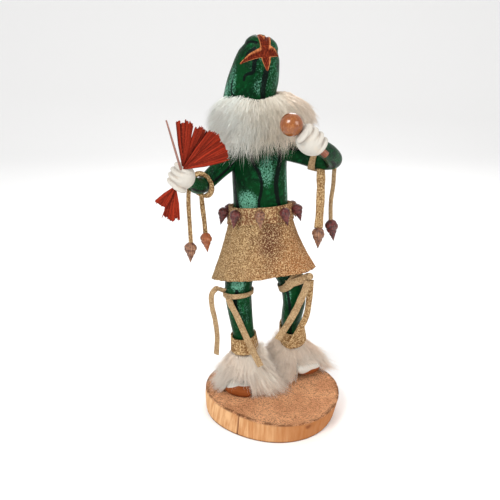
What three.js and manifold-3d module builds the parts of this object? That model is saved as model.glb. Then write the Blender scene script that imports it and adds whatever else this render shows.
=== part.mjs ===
// A carved and painted wooden dancer, about 318 mm tall, on a round slab of wood.
// Millimetres, +Z up. The origin is the centre of the slab's underside, and the figure faces -Y,
// so its right hand is on the -X side. It is dressed in fur, suede and small snail shells.

import * as THREE from 'three';
import { mergeVertices } from 'three/addons/utils/BufferGeometryUtils.js';
import Module from 'manifold-3d';

const wasm = await Module();
wasm.setup();

// Clearances between pieces that are glued or tied to each other.
const GAP = 0.3;

// Slab: a slice of a thin trunk, not quite round.
const SLAB_HEIGHT = 18.4;
const SLAB_RADIUS = 57.8;
const SLAB_TAPER = 1.4;
const SLAB_BEVEL = 0.8;
// The slab's outline as waves round it: count, size and turn at the top, size and turn below.
const SLAB_WAVES = [[1, 3.9, 1.35, 3.2, 1.93], [2, 3.1, -1.21, 0.8, -0.49], [3, 1.9, 2.13, 1.6, 2.64]];
// Figure: the body stands on the slab, and the head and arms are glued to it.
const SOLE_Z = SLAB_HEIGHT + GAP;
const NECK_TOP = 250;
const FIST_RADIUS = 9.4;
const FINGER_PITCH_RIGHT = 4.4;
const FINGER_PITCH_LEFT = 5.2;
// Rattle in the left hand.
const BALL_RADIUS = 8.4;
const STICK_RADIUS = 2.6;
const STICK_REACH = 15;
const BALL_OFFSET = 19;
// Feathers in the right hand.
const FEATHER_THICKNESS = 0.8;
const FEATHER_SPACING = 1.2;
const QUILL_LENGTH = 37;
// Fur.
const RUFF_HALF_WIDTH = 40;
const RUFF_HALF_DEPTH = 33;
const ANKLE_FUR_HALF_WIDTH = 27.5;
const ANKLE_FUR_HALF_DEPTH = 18;
// Suede.
const KILT_THICKNESS = 1.5;
const KILT_CLEARANCE = 0.6;
const KILT_WAIST_Z = 185;
const KILT_HEM_Z = 126;
const KILT_FLARE_ACROSS = 19.4;
const KILT_FLARE_DEPTH = 8;
const KILT_FOLD = 0.9;
const BELT_HEIGHT = 13.5;
const BELT_THICKNESS = 1.6;
const BELT_LIP = 0.7;
const BELT_TAPER = 0.7;
const BAND_THICKNESS = 1.5;
const RIGHT_ARM_BAND_WIDTH = 4.2;
const LEFT_ARM_BAND_WIDTH = 6.1;
const ARM_BAND_CLEARANCE = 0.45;
const RIGHT_KNEE_BAND_WIDTH = 5.2;
const LEFT_KNEE_BAND_WIDTH = 7.4;
const KNOT_SIZE = [3.4, 2.6, 3.2];
const RIGHT_CUFF_HEIGHT = 13.7;
const LEFT_CUFF_HEIGHT = 16.8;
const CUFF_THICKNESS = 1.7;
const CUFF_FLARE = 1.5;
const THONG_THICKNESS = 1.2;
const NARROW_THONG = 3.4;
const WIDE_THONG = 6.8;
const KNEE_THONG = 5.6;
// Snail shells.
const BELT_SHELLS = 9;
const BELT_SHELL_LENGTH = 15.5;
const FIRST_SHELL_TURN = 188;
const HANGING_SHELL_LENGTH = 17;
// A shell's widest radius as a share of its length, and how far a belt shell sinks into the belt.
const SHELL_GIRTH = 0.285;
const SHELL_SINK = 1.2;
const SHELL_DROP = 0.5;
const SHELL_SPLAY = 1.5;

const X = new THREE.Vector3(1, 0, 0);
const Y = new THREE.Vector3(0, 1, 0);
const Z = new THREE.Vector3(0, 0, 1);

const vector = (x, y, z) => new THREE.Vector3(x, y, z);
const mix = THREE.MathUtils.lerp;

// Meshes as solids, joined and cut.

function toSolid(geometry) {
  const bare = geometry.clone();
  bare.deleteAttribute('normal');
  bare.deleteAttribute('uv');
  const merged = mergeVertices(bare, 1e-4);
  const position = merged.attributes.position;
  const index = merged.index.array;
  const corners = [];
  let volume = 0;
  const [a, b, c] = [vector(), vector(), vector()];
  for (let i = 0; i < index.length; i += 3) {
    const [p, q, r] = [index[i], index[i + 1], index[i + 2]];
    if (p === q || q === r || r === p) continue;
    corners.push(p, q, r);
    a.fromBufferAttribute(position, p);
    b.fromBufferAttribute(position, q);
    c.fromBufferAttribute(position, r);
    volume += a.dot(b.cross(c));
  }
  if (volume < 0) {
    for (let i = 0; i < corners.length; i += 3) {
      [corners[i + 1], corners[i + 2]] = [corners[i + 2], corners[i + 1]];
    }
  }
  return new wasm.Manifold(new wasm.Mesh({
    numProp: 3,
    vertProperties: new Float32Array(position.array),
    triVerts: new Uint32Array(corners),
  }));
}

function toGeometry(solid) {
  const mesh = solid.getMesh();
  const geometry = new THREE.BufferGeometry();
  geometry.setAttribute('position', new THREE.BufferAttribute(mesh.vertProperties, 3));
  geometry.setIndex(new THREE.BufferAttribute(mesh.triVerts, 1));
  geometry.computeVertexNormals();
  return geometry;
}

const join = (first, ...rest) => rest.reduce((whole, piece) => whole.add(piece), first);
const cut = (first, ...rest) => rest.reduce((whole, piece) => whole.subtract(piece), first);
const above = (solid, z) => solid.trimByPlane([0, 0, 1], z);
const below = (solid, z) => solid.trimByPlane([0, 0, -1], -z);

// Forms bent from three.js geometries.

/** A closed skin of `rows` bands, each of `sides` corners, from one pole to the other. */
function skin(sides, rows, place) {
  const grid = new THREE.SphereGeometry(1, sides, rows);
  const position = grid.attributes.position;
  for (let row = 0; row <= rows; row++) {
    for (let side = 0; side <= sides; side++) {
      const p = place(row, (2 * Math.PI * (side % sides)) / sides);
      position.setXYZ(row * (sides + 1) + side, p.x, p.y, p.z);
    }
  }
  return toSolid(grid);
}

/** A closed ring: `loop` is its cross-section's corners, and place puts one of them at an angle. */
function hoop(sides, loop, place) {
  const closed = [...loop, loop[0]].map((_, k) => new THREE.Vector2(1, k));
  const ring = new THREE.LatheGeometry(closed, sides);
  const position = ring.attributes.position;
  for (let side = 0; side <= sides; side++) {
    for (let k = 0; k < closed.length; k++) {
      const [u, v] = loop[k % loop.length];
      const p = place((2 * Math.PI * (side % sides)) / sides, u, v);
      position.setXYZ(side * closed.length + k, p.x, p.y, p.z);
    }
  }
  return toSolid(ring);
}

/** The run of a limb through its stations [x, y, z, radius across, radius the other way]. */
function limbPath(stations, across = X) {
  const centres = new THREE.CatmullRomCurve3(stations.map(([x, y, z]) => vector(x, y, z)));
  const radii = new THREE.CatmullRomCurve3(stations.map(([, , , a, b]) => vector(a, b ?? a, 0)));
  return (t) => {
    const tangent = centres.getTangent(t);
    const side = across.clone().addScaledVector(tangent, -across.dot(tangent)).normalize();
    const front = tangent.clone().cross(side);
    const radius = radii.getPoint(t);
    return { centre: centres.getPoint(t), tangent, side, front, a: radius.x, b: radius.y };
  };
}

function onLimb(station, angle, extra = 0, share = 1) {
  const { centre, side, front, a, b } = station;
  return centre.clone()
    .addScaledVector(side, share * (a + extra) * Math.cos(angle))
    .addScaledVector(front, share * (b + extra) * Math.sin(angle));
}

const DOME_ROWS = 2;
const BAND_STEP = 0.02;

/** A limb as a solid. Its ends bulge by a share of their radius, and grow thickens it all round. */
function limb(stations, options = {}) {
  const { grow = 0, sides = 12, steps = 8, across = X, startDome = 0, endDome = 0 } = options;
  const path = limbPath(stations, across);
  const startRows = startDome ? DOME_ROWS : 1;
  const endRows = endDome ? DOME_ROWS : 1;
  const cap = (station, dome, share, angle, sign) => {
    const turn = (share * Math.PI) / 2;
    const radius = (station.a + station.b) / 2;
    return onLimb(station, angle, grow, Math.sin(turn))
      .addScaledVector(station.tangent, sign * (dome * radius + grow) * Math.cos(turn));
  };
  return skin(sides, startRows + steps + endRows, (row, angle) => {
    if (row < startRows) return cap(path(0), startDome, row / startRows, angle, -1);
    const past = row - startRows - steps;
    if (past > 0) return cap(path(1), endDome, 1 - past / endRows, angle, 1);
    return onLimb(path((row - startRows) / steps), angle, grow);
  });
}

/**
 * A band of a width round a limb, starting at a place from 0 to 1 along it and clearing it by
 * `inner`. It may lean, and flare by a distance towards its lower end.
 */
function bandOn(stations, start, width, inner, options = {}) {
  const { sides = 12, across = X, thickness = BAND_THICKNESS, lean = 0, flare = 0 } = options;
  const path = limbPath(stations, across);
  const pace = path(start).centre.distanceTo(path(start + BAND_STEP).centre) / BAND_STEP;
  const end = start + width / pace;
  const outer = inner + thickness;
  const loop = [[start, outer], [end, outer + flare], [end, inner + flare], [start, inner]];
  return hoop(sides, loop, (angle, t, out) => onLimb(path(t + lean * Math.cos(angle)), angle, out));
}

/** A flat strip along a curve: wide across `facing`'s plane and thin along it. */
function strap(points, width, facing, steps = 10) {
  const curve = new THREE.CatmullRomCurve3(points.map(([x, y, z]) => vector(x, y, z)));
  const corner = [[1, 1], [-1, 1], [-1, -1], [1, -1]];
  return skin(4, steps + 2, (row, angle) => {
    const t = THREE.MathUtils.clamp((row - 1) / steps, 0, 1);
    const tangent = curve.getTangent(t);
    const wide = tangent.clone().cross(facing).normalize();
    const thin = wide.clone().cross(tangent);
    const [u, v] = corner[Math.round(angle / (Math.PI / 2)) % 4];
    const share = row === 0 || row === steps + 2 ? 0 : 1;
    return curve.getPoint(t)
      .addScaledVector(wide, (share * u * width) / 2)
      .addScaledVector(thin, (share * v * THONG_THICKNESS) / 2);
  });
}

/** An egg of three half-sizes along three directions at right angles. */
function egg(centre, [u, v, w], [a, b, c], sides = 8, rows = 6) {
  const ball = new THREE.SphereGeometry(1, sides, rows);
  const place = new THREE.Matrix4().makeBasis(
    u.clone().multiplyScalar(a), v.clone().multiplyScalar(b), w.clone().multiplyScalar(c));
  return toSolid(ball.applyMatrix4(place.setPosition(centre)));
}

/** A snail shell, spire down: `mouth` is its upper end, and `down` points to the tip. */
function shell(mouth, down, length) {
  const whorls = [
    [0, 1], [0.32, 0.93], [0.6, 0.8], [0.56, 0.75], [0.84, 0.62], [0.82, 0.57], [1, 0.36],
    [0.81, 0.12], [0.32, 0], [0, 0],
  ];
  const profile = whorls.map(([share, along]) => new THREE.Vector2(
    share * SHELL_GIRTH * length, along * length));
  const turn = new THREE.Quaternion().setFromUnitVectors(Y, down.clone().normalize());
  const lathe = new THREE.LatheGeometry(profile.reverse(), 6);
  return toSolid(lathe.applyQuaternion(turn).translate(mouth.x, mouth.y, mouth.z));
}

// Slab.

function slab() {
  const outline = (angle, share) => SLAB_WAVES.reduce((radius, [count, size, turn, low, lowTurn]) => {
    return radius + mix(size, low, share) * Math.cos(count * angle - mix(turn, lowTurn, share));
  }, SLAB_RADIUS - SLAB_TAPER * share);
  const rows = [
    [0, SLAB_HEIGHT, 0], [1, SLAB_HEIGHT, -SLAB_BEVEL], [1, SLAB_HEIGHT - SLAB_BEVEL, 0],
    [1, SLAB_BEVEL, 0], [1, 0, -SLAB_BEVEL], [0, 0, 0],
  ];
  return skin(36, rows.length - 1, (row, angle) => {
    const [share, z, extra] = rows[row];
    const radius = share * (outline(angle, 1 - z / SLAB_HEIGHT) + extra);
    return vector(radius * Math.cos(angle), radius * Math.sin(angle), z);
  });
}

// Carved body: trunk, legs and moccasins in one piece of wood.

const TRUNK = [
  [-9, 12, 133, 19, 14], [-10.5, 12, 144, 21.8, 16.5], [-12, 12, 165, 22.4, 17],
  [-12, 12, 190, 22.4, 17], [-13, 12, 215, 22.3, 17], [-13, 12, 230, 22, 16.5],
  [-14, 12, 241, 16, 13], [-19, 12, 249, 11.8, 11], [-24, 12, 257, 11, 11],
];
const RIGHT_LEG = [
  [-26, 11, 140, 12.5, 12], [-30.5, 9, 113, 11.6, 11.6], [-29.5, 8.5, 95, 10.9, 10.9],
  [-26.4, 9, 70, 9.3, 9.3], [-24.5, 11, 46, 8.8, 9], [-24, 12, 27, 8.6, 9],
];
const LEFT_LEG = [
  [4, 11, 140, 12.5, 12], [15, 8, 119, 11, 11.5], [17.5, 9, 101, 9.8, 10.5],
  [16, 14, 82, 9, 10], [18, 25, 60, 8.9, 9.6], [20, 33, 42, 8.8, 9], [21, 36, 28, 8.6, 9],
];
const RIGHT_FOOT = [
  [-22, 18, 27, 8.5, 8.5], [-25, 8, 27, 9.5, 9.5], [-28.5, -3, 23.5, 11.4, 6.2],
  [-31, -10.5, 21.8, 12, 4.4],
];
const LEFT_FOOT = [
  [21, 41, 27, 8.5, 8.5], [25, 34, 27.5, 9.5, 9.5], [30, 25, 26.6, 11.4, 6.4],
  [34, 19.5, 26.4, 11.8, 4.6],
];

function foot(stations, grow) {
  return limb(stations, { grow, sides: 10, steps: 4, startDome: 0.7, endDome: 0.35 });
}

function body(grow = 0) {
  const whole = join(
    below(limb(TRUNK, { grow, sides: 16, steps: 8, startDome: 0.4 }), NECK_TOP + grow),
    limb(RIGHT_LEG, { grow, steps: 6, startDome: 0.6 }),
    limb(LEFT_LEG, { grow, steps: 8, startDome: 0.6 }),
    foot(RIGHT_FOOT, grow),
    foot(LEFT_FOOT, grow),
  );
  return above(whole, SOLE_Z - (grow ? GAP : 0));
}

// Carved head: a leaning egg with a five-armed star grooved in its front.

const HEAD = [
  [-26, 12, 240, 15, 14], [-24.4, 12, 251, 18.6, 17], [-22.6, 12, 263, 20, 18.3],
  [-20.2, 11.5, 276, 19.9, 18.6], [-17.2, 11, 287, 19.2, 18.2], [-15.2, 10.5, 296, 17.8, 17.3],
  [-13.4, 10, 303, 16, 15.8], [-12, 9.5, 308.5, 13, 13],
];
const HEAD_DOME = 0.73;
const STAR_CENTRE = vector(-9, -2.8, 305.4);
const STAR_IN = vector(-0.15, 0.75, -0.65).normalize();
const STAR_DEPTH = 2.6;
const HEAD_CURVE = 13;
// Each arm's tip on the head, and the groove's half width.
const STAR_ARMS = [
  [vector(-27.5, -2, 297.5), 3.6], [vector(-7.3, -6.4, 293.4), 4.2], [vector(2.6, 3, 306), 3.4],
  [vector(-5.4, 12, 317), 3.6], [vector(-16.4, 9, 318.6), 3.6],
];

/** One V-shaped groove, widest where the arms meet, that follows the head out to its tip. */
function starGroove([tip, halfWidth]) {
  const length = tip.distanceTo(STAR_CENTRE);
  const middle = STAR_CENTRE.clone().lerp(tip, 0.5)
    .addScaledVector(STAR_IN, -(length ** 2) / (8 * HEAD_CURVE));
  const across = tip.clone().sub(STAR_CENTRE).cross(STAR_IN).normalize();
  const stations = [[STAR_CENTRE, 1], [middle, 0.7], [tip, 0.15]].map(([point, share]) => [
    ...point, share * halfWidth, share * STAR_DEPTH]);
  return limb(stations, { sides: 4, steps: 3, across });
}

function head(grow = 0) {
  const whole = limb(HEAD, { grow, sides: 18, steps: 9, endDome: HEAD_DOME });
  const plain = above(whole, NECK_TOP + GAP - grow);
  return grow ? plain : cut(plain, ...STAR_ARMS.map(starGroove));
}

// Arms, each carved in one piece with its closed fist.

const RIGHT_ARM = [
  [-28, 11, 229, 8.6, 8.6], [-44, 9.5, 216, 7.6, 7.6], [-57.5, 5.5, 204, 6.8, 6.8],
  [-62, -4, 204.5, 6.5, 6.5], [-66.5, -16, 210.5, 5.6, 5.6], [-70, -25, 215.5, 5.4, 5.4],
];
const LEFT_ARM = [
  [3, 11, 232, 8.8, 8.6], [20, 8, 227.5, 7.8, 7.8], [36, 3, 223.5, 7.4, 7.4],
  [44, -4, 225, 7, 7], [40, -18, 232.5, 6.5, 6.5], [30, -34, 241, 6, 6],
];
const RIGHT_FIST = vector(-71.2, -30, 217.6);
const RIGHT_GRIP = vector(0.46, -0.05, 0.89).normalize();
const RIGHT_KNUCKLES = vector(-0.45, -0.86, 0.22);
const LEFT_FIST = vector(22.8, -41, 245.8);
const LEFT_GRIP = vector(0.74, 0.2, -0.64).normalize();
const LEFT_KNUCKLES = vector(0.1, -0.62, 0.6);

/** A fist's own directions: along the grip, out over the knuckles, and across both. */
function fistAxes(grip, knuckles) {
  const out = knuckles.clone().addScaledVector(grip, -knuckles.dot(grip)).normalize();
  return [grip, out, grip.clone().cross(out)];
}

/** Four fingers side by side along the grip, with the palm behind them and the thumb across. */
function fist(centre, grip, knuckles, pitch, grow = 0) {
  const axes = fistAxes(grip, knuckles);
  const [along, out, aside] = axes;
  const at = (u, v, w) => centre.clone()
    .addScaledVector(along, u).addScaledVector(out, v).addScaledVector(aside, w);
  const fingers = [-1.5, -0.5, 0.5, 1.5].map((place) => {
    const reach = FIST_RADIUS - 0.35 * place * place;
    const size = [0.66 * pitch + grow, reach + grow, reach + grow];
    return egg(at(place * pitch, 0.8, 0), axes, size);
  });
  const palmSize = [2.05 * pitch + grow, 0.86 * FIST_RADIUS + grow, 0.92 * FIST_RADIUS + grow];
  const palm = egg(at(0, -1.6, 0), axes, palmSize);
  const thumb = egg(at(-1.75 * pitch, 3.2, 3.4), axes,
    [2.2 + grow, 0.62 * FIST_RADIUS + grow, 0.72 * FIST_RADIUS + grow]);
  return join(palm, thumb, ...fingers);
}

const ARM_OPTIONS = { across: Y, sides: 10, steps: 9, startDome: 0.5, endDome: 0.4 };

function rightArm(grow = 0) {
  return join(
    limb(RIGHT_ARM, { ...ARM_OPTIONS, grow }),
    fist(RIGHT_FIST, RIGHT_GRIP, RIGHT_KNUCKLES, FINGER_PITCH_RIGHT, grow),
  );
}

function leftArm(grow = 0) {
  return join(
    limb(LEFT_ARM, { ...ARM_OPTIONS, grow }),
    fist(LEFT_FIST, LEFT_GRIP, LEFT_KNUCKLES, FINGER_PITCH_LEFT, grow),
  );
}

// Rattle: a turned ball on a stick that passes through the left fist.

const BALL_CENTRE = LEFT_FIST.clone().addScaledVector(LEFT_GRIP, -BALL_OFFSET);

function rattleStick(grow = 0) {
  const start = BALL_CENTRE.clone().addScaledVector(LEFT_GRIP, BALL_RADIUS - 1);
  const end = LEFT_FIST.clone().addScaledVector(LEFT_GRIP, STICK_REACH + grow);
  const radius = STICK_RADIUS + grow;
  return limb([[...start, radius], [...start.clone().lerp(end, 0.5), radius], [...end, radius]],
    { sides: 10, steps: 2, across: Y });
}

function rattleBall(grow = 0) {
  const size = BALL_RADIUS + grow;
  return egg(BALL_CENTRE, fistAxes(LEFT_GRIP, LEFT_KNUCKLES), [size, size, size], 14, 9);
}

// Feathers: trimmed vanes that fan out of the right fist, and a tail of them below it.

const FAN_ROOT = vector(-69.4, -30, 222.5);
const TAIL_ROOT = vector(-76.6, -30, 210);
// [name, turn from straight up in degrees, length, width at the cut end, layer]
const FEATHERS = [
  ['feather_fan_1', 5, 37, 12, 0], ['feather_fan_2', 26.5, 34, 9, 1],
  ['feather_fan_3', 48, 38, 11.5, -1], ['feather_fan_4', 66, 38, 12, -2],
];
const TAIL_FEATHERS = [
  ['feather_tail_1', 221, 20, 8.5, 0], ['feather_tail_2', 190, 27, 13, 1],
];

/** A vane, narrow at its root and cut off in a ragged line, flat in its own layer. */
function feather(root, degrees, length, width, layer) {
  const half = width / 2;
  const outline = new THREE.Shape([
    [-0.9, 0], [-0.4 * half, 0.3 * length], [-0.8 * half, 0.7 * length], [-half, 0.97 * length],
    [-0.4 * half, length], [0.2 * half, 0.96 * length], [half, 0.92 * length],
    [0.8 * half, 0.66 * length], [0.4 * half, 0.3 * length], [0.9, 0],
  ].map(([x, y]) => new THREE.Vector2(x, y)));
  const plate = new THREE.ExtrudeGeometry(outline, {
    depth: FEATHER_THICKNESS, bevelEnabled: false, steps: 1,
  });
  plate.translate(0, 0, -FEATHER_THICKNESS / 2);
  plate.rotateX(Math.PI / 2);
  plate.rotateY(THREE.MathUtils.degToRad(degrees));
  plate.translate(root.x, root.y + layer * FEATHER_SPACING, root.z);
  return toSolid(plate);
}

function quill() {
  const lean = vector(-0.26, 0, 1).normalize();
  const root = FAN_ROOT.clone().addScaledVector(Y, -3 * FEATHER_SPACING).addScaledVector(X, -1);
  const tip = root.clone().addScaledVector(lean, QUILL_LENGTH);
  const middle = root.clone().lerp(tip, 0.5);
  return limb([[...root, 0.9], [...middle, 0.8], [...tip, 0.6]], { sides: 8, steps: 4, across: X });
}

// Fur: a ruff round the neck and a tuft round each ankle, as the mass that the hair fills.

const wave = (angle, count, start) => Math.cos(count * angle + start);

/** The ruff's outline: rows are [height, share of its full spread]. */
const RUFF_ROWS = [
  [-22, 0.7], [-18, 0.84], [-9, 0.97], [0, 1], [8, 0.95], [15, 0.8], [19, 0.62],
];
const RUFF_CENTRE = vector(-11.5, 8, 253);

function ruffSkin() {
  const rows = [[RUFF_ROWS[0][0], 0], ...RUFF_ROWS, [RUFF_ROWS.at(-1)[0], 0]];
  return skin(18, rows.length - 1, (row, angle) => {
    const [height, share] = rows[row];
    const spread = share * (1 + 0.035 * wave(angle, 3, 0.6) + 0.025 * wave(angle, 7, 1.9));
    const tilt = share * (4.5 * Math.cos(angle) + 1.5 * Math.sin(angle));
    return RUFF_CENTRE.clone().add(vector(
      spread * RUFF_HALF_WIDTH * Math.cos(angle),
      spread * RUFF_HALF_DEPTH * Math.sin(angle),
      height + tilt));
  });
}

/** Ankle fur: rows are [height, spread], and it reaches further on the side that longSide names. */
const FUR_ROWS = [[0, 1], [6, 0.98], [16, 0.85], [26, 0.7], [33, 0.6]];
const RIGHT_FUR = { centre: vector(-23.5, 9, SOLE_Z), longSide: 3.3, leg: RIGHT_LEG };
const LEFT_FUR = { centre: vector(25, 35, SOLE_Z), longSide: 0.2, leg: LEFT_LEG };

function ankleFur({ centre, longSide, leg }) {
  const path = limbPath(leg);
  const rows = [[FUR_ROWS[0][0], 0], ...FUR_ROWS, [FUR_ROWS.at(-1)[0], 0]];
  return skin(15, rows.length - 1, (row, angle) => {
    const [height, share] = rows[row];
    const top = height / FUR_ROWS.at(-1)[0];
    const ankle = path(mix(1, 0.78, top)).centre;
    const reach = share * (1 + 0.08 * wave(angle, 1, -longSide) + 0.04 * wave(angle, 5, 0.8));
    return vector(
      mix(centre.x, ankle.x, top) + ANKLE_FUR_HALF_WIDTH * reach * Math.cos(angle),
      mix(centre.y, ankle.y, top) + ANKLE_FUR_HALF_DEPTH * reach * Math.sin(angle),
      centre.z + height);
  });
}

// What glued and tied pieces keep clear of.
const grownBody = body(GAP);
const grownArms = [rightArm(GAP), leftArm(GAP)];

// Suede: the kilt and its belt, the bands on arms, knees and ankles, and the hanging thongs.

const WAIST = { x: -12, y: 12, across: 22.4, depth: 17 };
const HEM_CENTRE = { x: -8.2, y: 11 };
const waistOut = KILT_CLEARANCE + KILT_THICKNESS;
const waistZ = (angle) => KILT_WAIST_Z + 1.6 * Math.cos(angle) - 2 * Math.sin(angle);
const hemZ = (angle) => KILT_HEM_Z + 5.5 * Math.cos(angle) - 3.6 * Math.sin(angle);

/** A point of the kilt: `down` runs from 0 at the waist to 1 at the hem. */
function onKilt(angle, down, out) {
  const flare = Math.max(0, down) ** (1.5 + 0.2 * Math.cos(angle));
  const folds = KILT_FOLD * flare * (wave(angle, 5, 3.4) + 0.6 * wave(angle, 8, 0.6));
  const across = WAIST.across + KILT_FLARE_ACROSS * flare + folds + out;
  const depth = WAIST.depth + KILT_FLARE_DEPTH * flare + folds + out;
  return vector(
    mix(WAIST.x, HEM_CENTRE.x, down) + across * Math.cos(angle),
    mix(WAIST.y, HEM_CENTRE.y, down) + depth * Math.sin(angle),
    mix(waistZ(angle), hemZ(angle), down));
}

function kilt() {
  const steps = [0, 0.25, 0.5, 0.75, 1];
  const loop = [
    ...steps.map((down) => [down, waistOut]),
    ...steps.toReversed().map((down) => [down, KILT_CLEARANCE]),
  ];
  return hoop(30, loop, onKilt);
}

const beltInner = waistOut + GAP;

function belt(grow = 0) {
  const drop = KILT_WAIST_Z - KILT_HEM_Z;
  const [high, low] = [-BELT_LIP / drop, BELT_HEIGHT / drop];
  const out = beltInner + BELT_THICKNESS + grow;
  const loop = [[high, out], [low, out - BELT_TAPER], [low, beltInner], [high, beltInner]];
  return hoop(30, loop, onKilt);
}

function beltShell(number) {
  const angle = THREE.MathUtils.degToRad(FIRST_SHELL_TURN + (360 / BELT_SHELLS) * number);
  const out = beltInner + BELT_THICKNESS + SHELL_GIRTH * BELT_SHELL_LENGTH - SHELL_SINK;
  const mouth = onKilt(angle, 0, out);
  const tip = onKilt(angle, 0.3, out + SHELL_SPLAY);
  return cut(shell(mouth, tip.sub(mouth), BELT_SHELL_LENGTH), belt(GAP));
}

const FACING_FRONT = vector(0, -1, 0);
const KNOT = vector(28.6, -4.6, 127.8);

const armBand = (arm, start, width) => bandOn(
  arm, start, width, ARM_BAND_CLEARANCE, { across: Y, sides: 10 });
const kneeBand = (leg, start, width, lean) => cut(bandOn(leg, start, width, GAP, { lean }), grownBody);
const ankleCuff = (leg, start, height) => cut(
  bandOn(leg, start, height, GAP, { thickness: CUFF_THICKNESS, flare: CUFF_FLARE }), grownBody);

/** The left knee's band, with the strip that ties it to a knot at its outer side. */
const tiedKneeBand = () => join(
  kneeBand(LEFT_LEG, 0.115, LEFT_KNEE_BAND_WIDTH, -0.05),
  strap([[10, -4, 120.5], [20, -5.4, 124.4], [...KNOT]], LEFT_KNEE_BAND_WIDTH, FACING_FRONT, 4),
  egg(KNOT, [X, Y, Z], KNOT_SIZE),
);

const bands = {
  right_arm_band: armBand(RIGHT_ARM, 0.43, RIGHT_ARM_BAND_WIDTH),
  left_arm_band: armBand(LEFT_ARM, 0.3, LEFT_ARM_BAND_WIDTH),
  right_knee_band: kneeBand(RIGHT_LEG, 0.22, RIGHT_KNEE_BAND_WIDTH, -0.012),
  left_knee_band: tiedKneeBand(),
  right_ankle_cuff: ankleCuff(RIGHT_LEG, 0.61, RIGHT_CUFF_HEIGHT),
  left_ankle_cuff: ankleCuff(LEFT_LEG, 0.56, LEFT_CUFF_HEIGHT),
};

// Thongs that hang from the bands: [name, points, width, the way their flat side faces], and for
// those that end in a shell [its name, the way it hangs, its length against the usual one].
const ARM_THONGS = [
  ['right_arm_thong_outer', [[-68.4, -13, 202.4], [-68.7, -13.5, 192], [-68.2, -14, 176],
    [-67.7, -14, 160.4]], NARROW_THONG, FACING_FRONT,
  ['right_arm_shell_outer', vector(-0.05, 0, -1), 1]],
  ['right_arm_thong_inner', [[-59.6, 2, 195.6], [-59, 0.8, 187], [-57.7, 0, 175],
    [-56.9, 0, 164]], NARROW_THONG + 0.4, FACING_FRONT,
  ['right_arm_shell_inner', vector(0.08, 0, -1), 0.98]],
  ['left_arm_thong_inner', [[35.4, -3, 214.6], [35.5, -5, 203], [35.3, -6, 186],
    [34.7, -6, 170.4]], WIDE_THONG, FACING_FRONT,
  ['left_arm_shell_inner', vector(0, 0, -1), 1.05]],
  ['left_arm_thong_outer', [[46, -1, 216.2], [46, 1, 204], [44.8, 2, 190],
    [45.2, 2, 174.6]], NARROW_THONG, vector(-0.5, -0.87, 0),
  ['left_arm_shell_outer', vector(0.17, 0, -1), 1.08]],
];
const KNEE_THONGS = [
  ['right_knee_thong_outer', [[-45.2, 2, 113.6], [-48.6, -1, 115.6], [-52.4, -4, 112],
    [-52.6, -5, 102], [-50, -5.4, 88], [-48.6, -5, 73], [-49.6, -5, 56]], KNEE_THONG - 0.6,
  vector(-0.8, -0.6, 0)],
  ['right_knee_thong_front', [[-38.2, -4.6, 105.4], [-32.3, -5, 93.6], [-25.6, -6.4, 77.6],
    [-18.4, -9.4, 62], [-11.4, -12.6, 48.5]], KNEE_THONG, vector(-0.3, -0.95, 0.1)],
  ['left_knee_thong_inner', [[27, -6.6, 122.9], [24, -6.6, 113], [17.6, -6.2, 97],
    [10.4, -6, 83], [3, -5.4, 70.5]], KNEE_THONG + 0.4, vector(0.1, -1, 0.1)],
  ['left_knee_thong_outer', [[30, -3.6, 122.6], [29.4, -1.8, 106], [27.4, -0.6, 90],
    [21.4, 0, 76], [12.6, 0.4, 59]], KNEE_THONG, vector(0.25, -1, 0.1)],
];

function hangingShell(thongPoints, down, size) {
  const mouth = vector(...thongPoints.at(-1)).addScaledVector(Z, -SHELL_DROP);
  return shell(mouth, down, size * HANGING_SHELL_LENGTH);
}

// Assembly.

const COLOURS = {
  green: [0x12573a, 0.55], wood: [0xc98f58, 0.8], ball: [0xc4702c, 0.25], stick: [0x9a4a1e, 0.5],
  feather: [0xa83a22, 0.7], fur: [0xd9d2c4, 0.95], suede: [0xb8925c, 0.95], shell: [0x9a6a58, 0.45],
};

function addPiece(group, name, solid, colour) {
  const [color, roughness] = COLOURS[colour];
  const material = new THREE.MeshStandardMaterial({ color, roughness, metalness: 0 });
  const mesh = new THREE.Mesh(toGeometry(solid), material);
  mesh.name = name;
  group.add(mesh);
}

const doll = new THREE.Group();
addPiece(doll, 'slab', slab(), 'wood');
addPiece(doll, 'body', body(), 'green');
addPiece(doll, 'head', head(), 'green');
addPiece(doll, 'right_arm', cut(rightArm(), grownBody), 'green');
addPiece(doll, 'left_arm', cut(leftArm(), grownBody, rattleStick(GAP), rattleBall(GAP)), 'green');
addPiece(doll, 'rattle_ball', cut(rattleBall(), rattleStick(GAP)), 'ball');
addPiece(doll, 'rattle_stick', rattleStick(), 'stick');
for (const [name, ...shape] of FEATHERS) {
  addPiece(doll, name, cut(feather(FAN_ROOT, ...shape), grownArms[0]), 'feather');
}
for (const [name, ...shape] of TAIL_FEATHERS) {
  addPiece(doll, name, cut(feather(TAIL_ROOT, ...shape), grownArms[0]), 'feather');
}
addPiece(doll, 'feather_quill', cut(quill(), grownArms[0]), 'feather');

addPiece(doll, 'neck_ruff', cut(ruffSkin(), grownBody, head(GAP), ...grownArms, rattleBall(GAP)), 'fur');
addPiece(doll, 'right_ankle_fur', cut(ankleFur(RIGHT_FUR), grownBody), 'fur');
addPiece(doll, 'left_ankle_fur', cut(ankleFur(LEFT_FUR), grownBody), 'fur');

addPiece(doll, 'kilt', kilt(), 'suede');
addPiece(doll, 'belt', belt(), 'suede');
for (const [name, solid] of Object.entries(bands)) addPiece(doll, name, solid, 'suede');
for (const [name, points, width, facing] of [...ARM_THONGS, ...KNEE_THONGS]) {
  addPiece(doll, name, strap(points, width, facing), 'suede');
}
for (let number = 0; number < BELT_SHELLS; number++) {
  addPiece(doll, `belt_shell_${number + 1}`, beltShell(number), 'shell');
}
for (const [, points, , , [name, down, size]] of ARM_THONGS) {
  addPiece(doll, name, hangingShell(points, down, size), 'shell');
}

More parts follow.
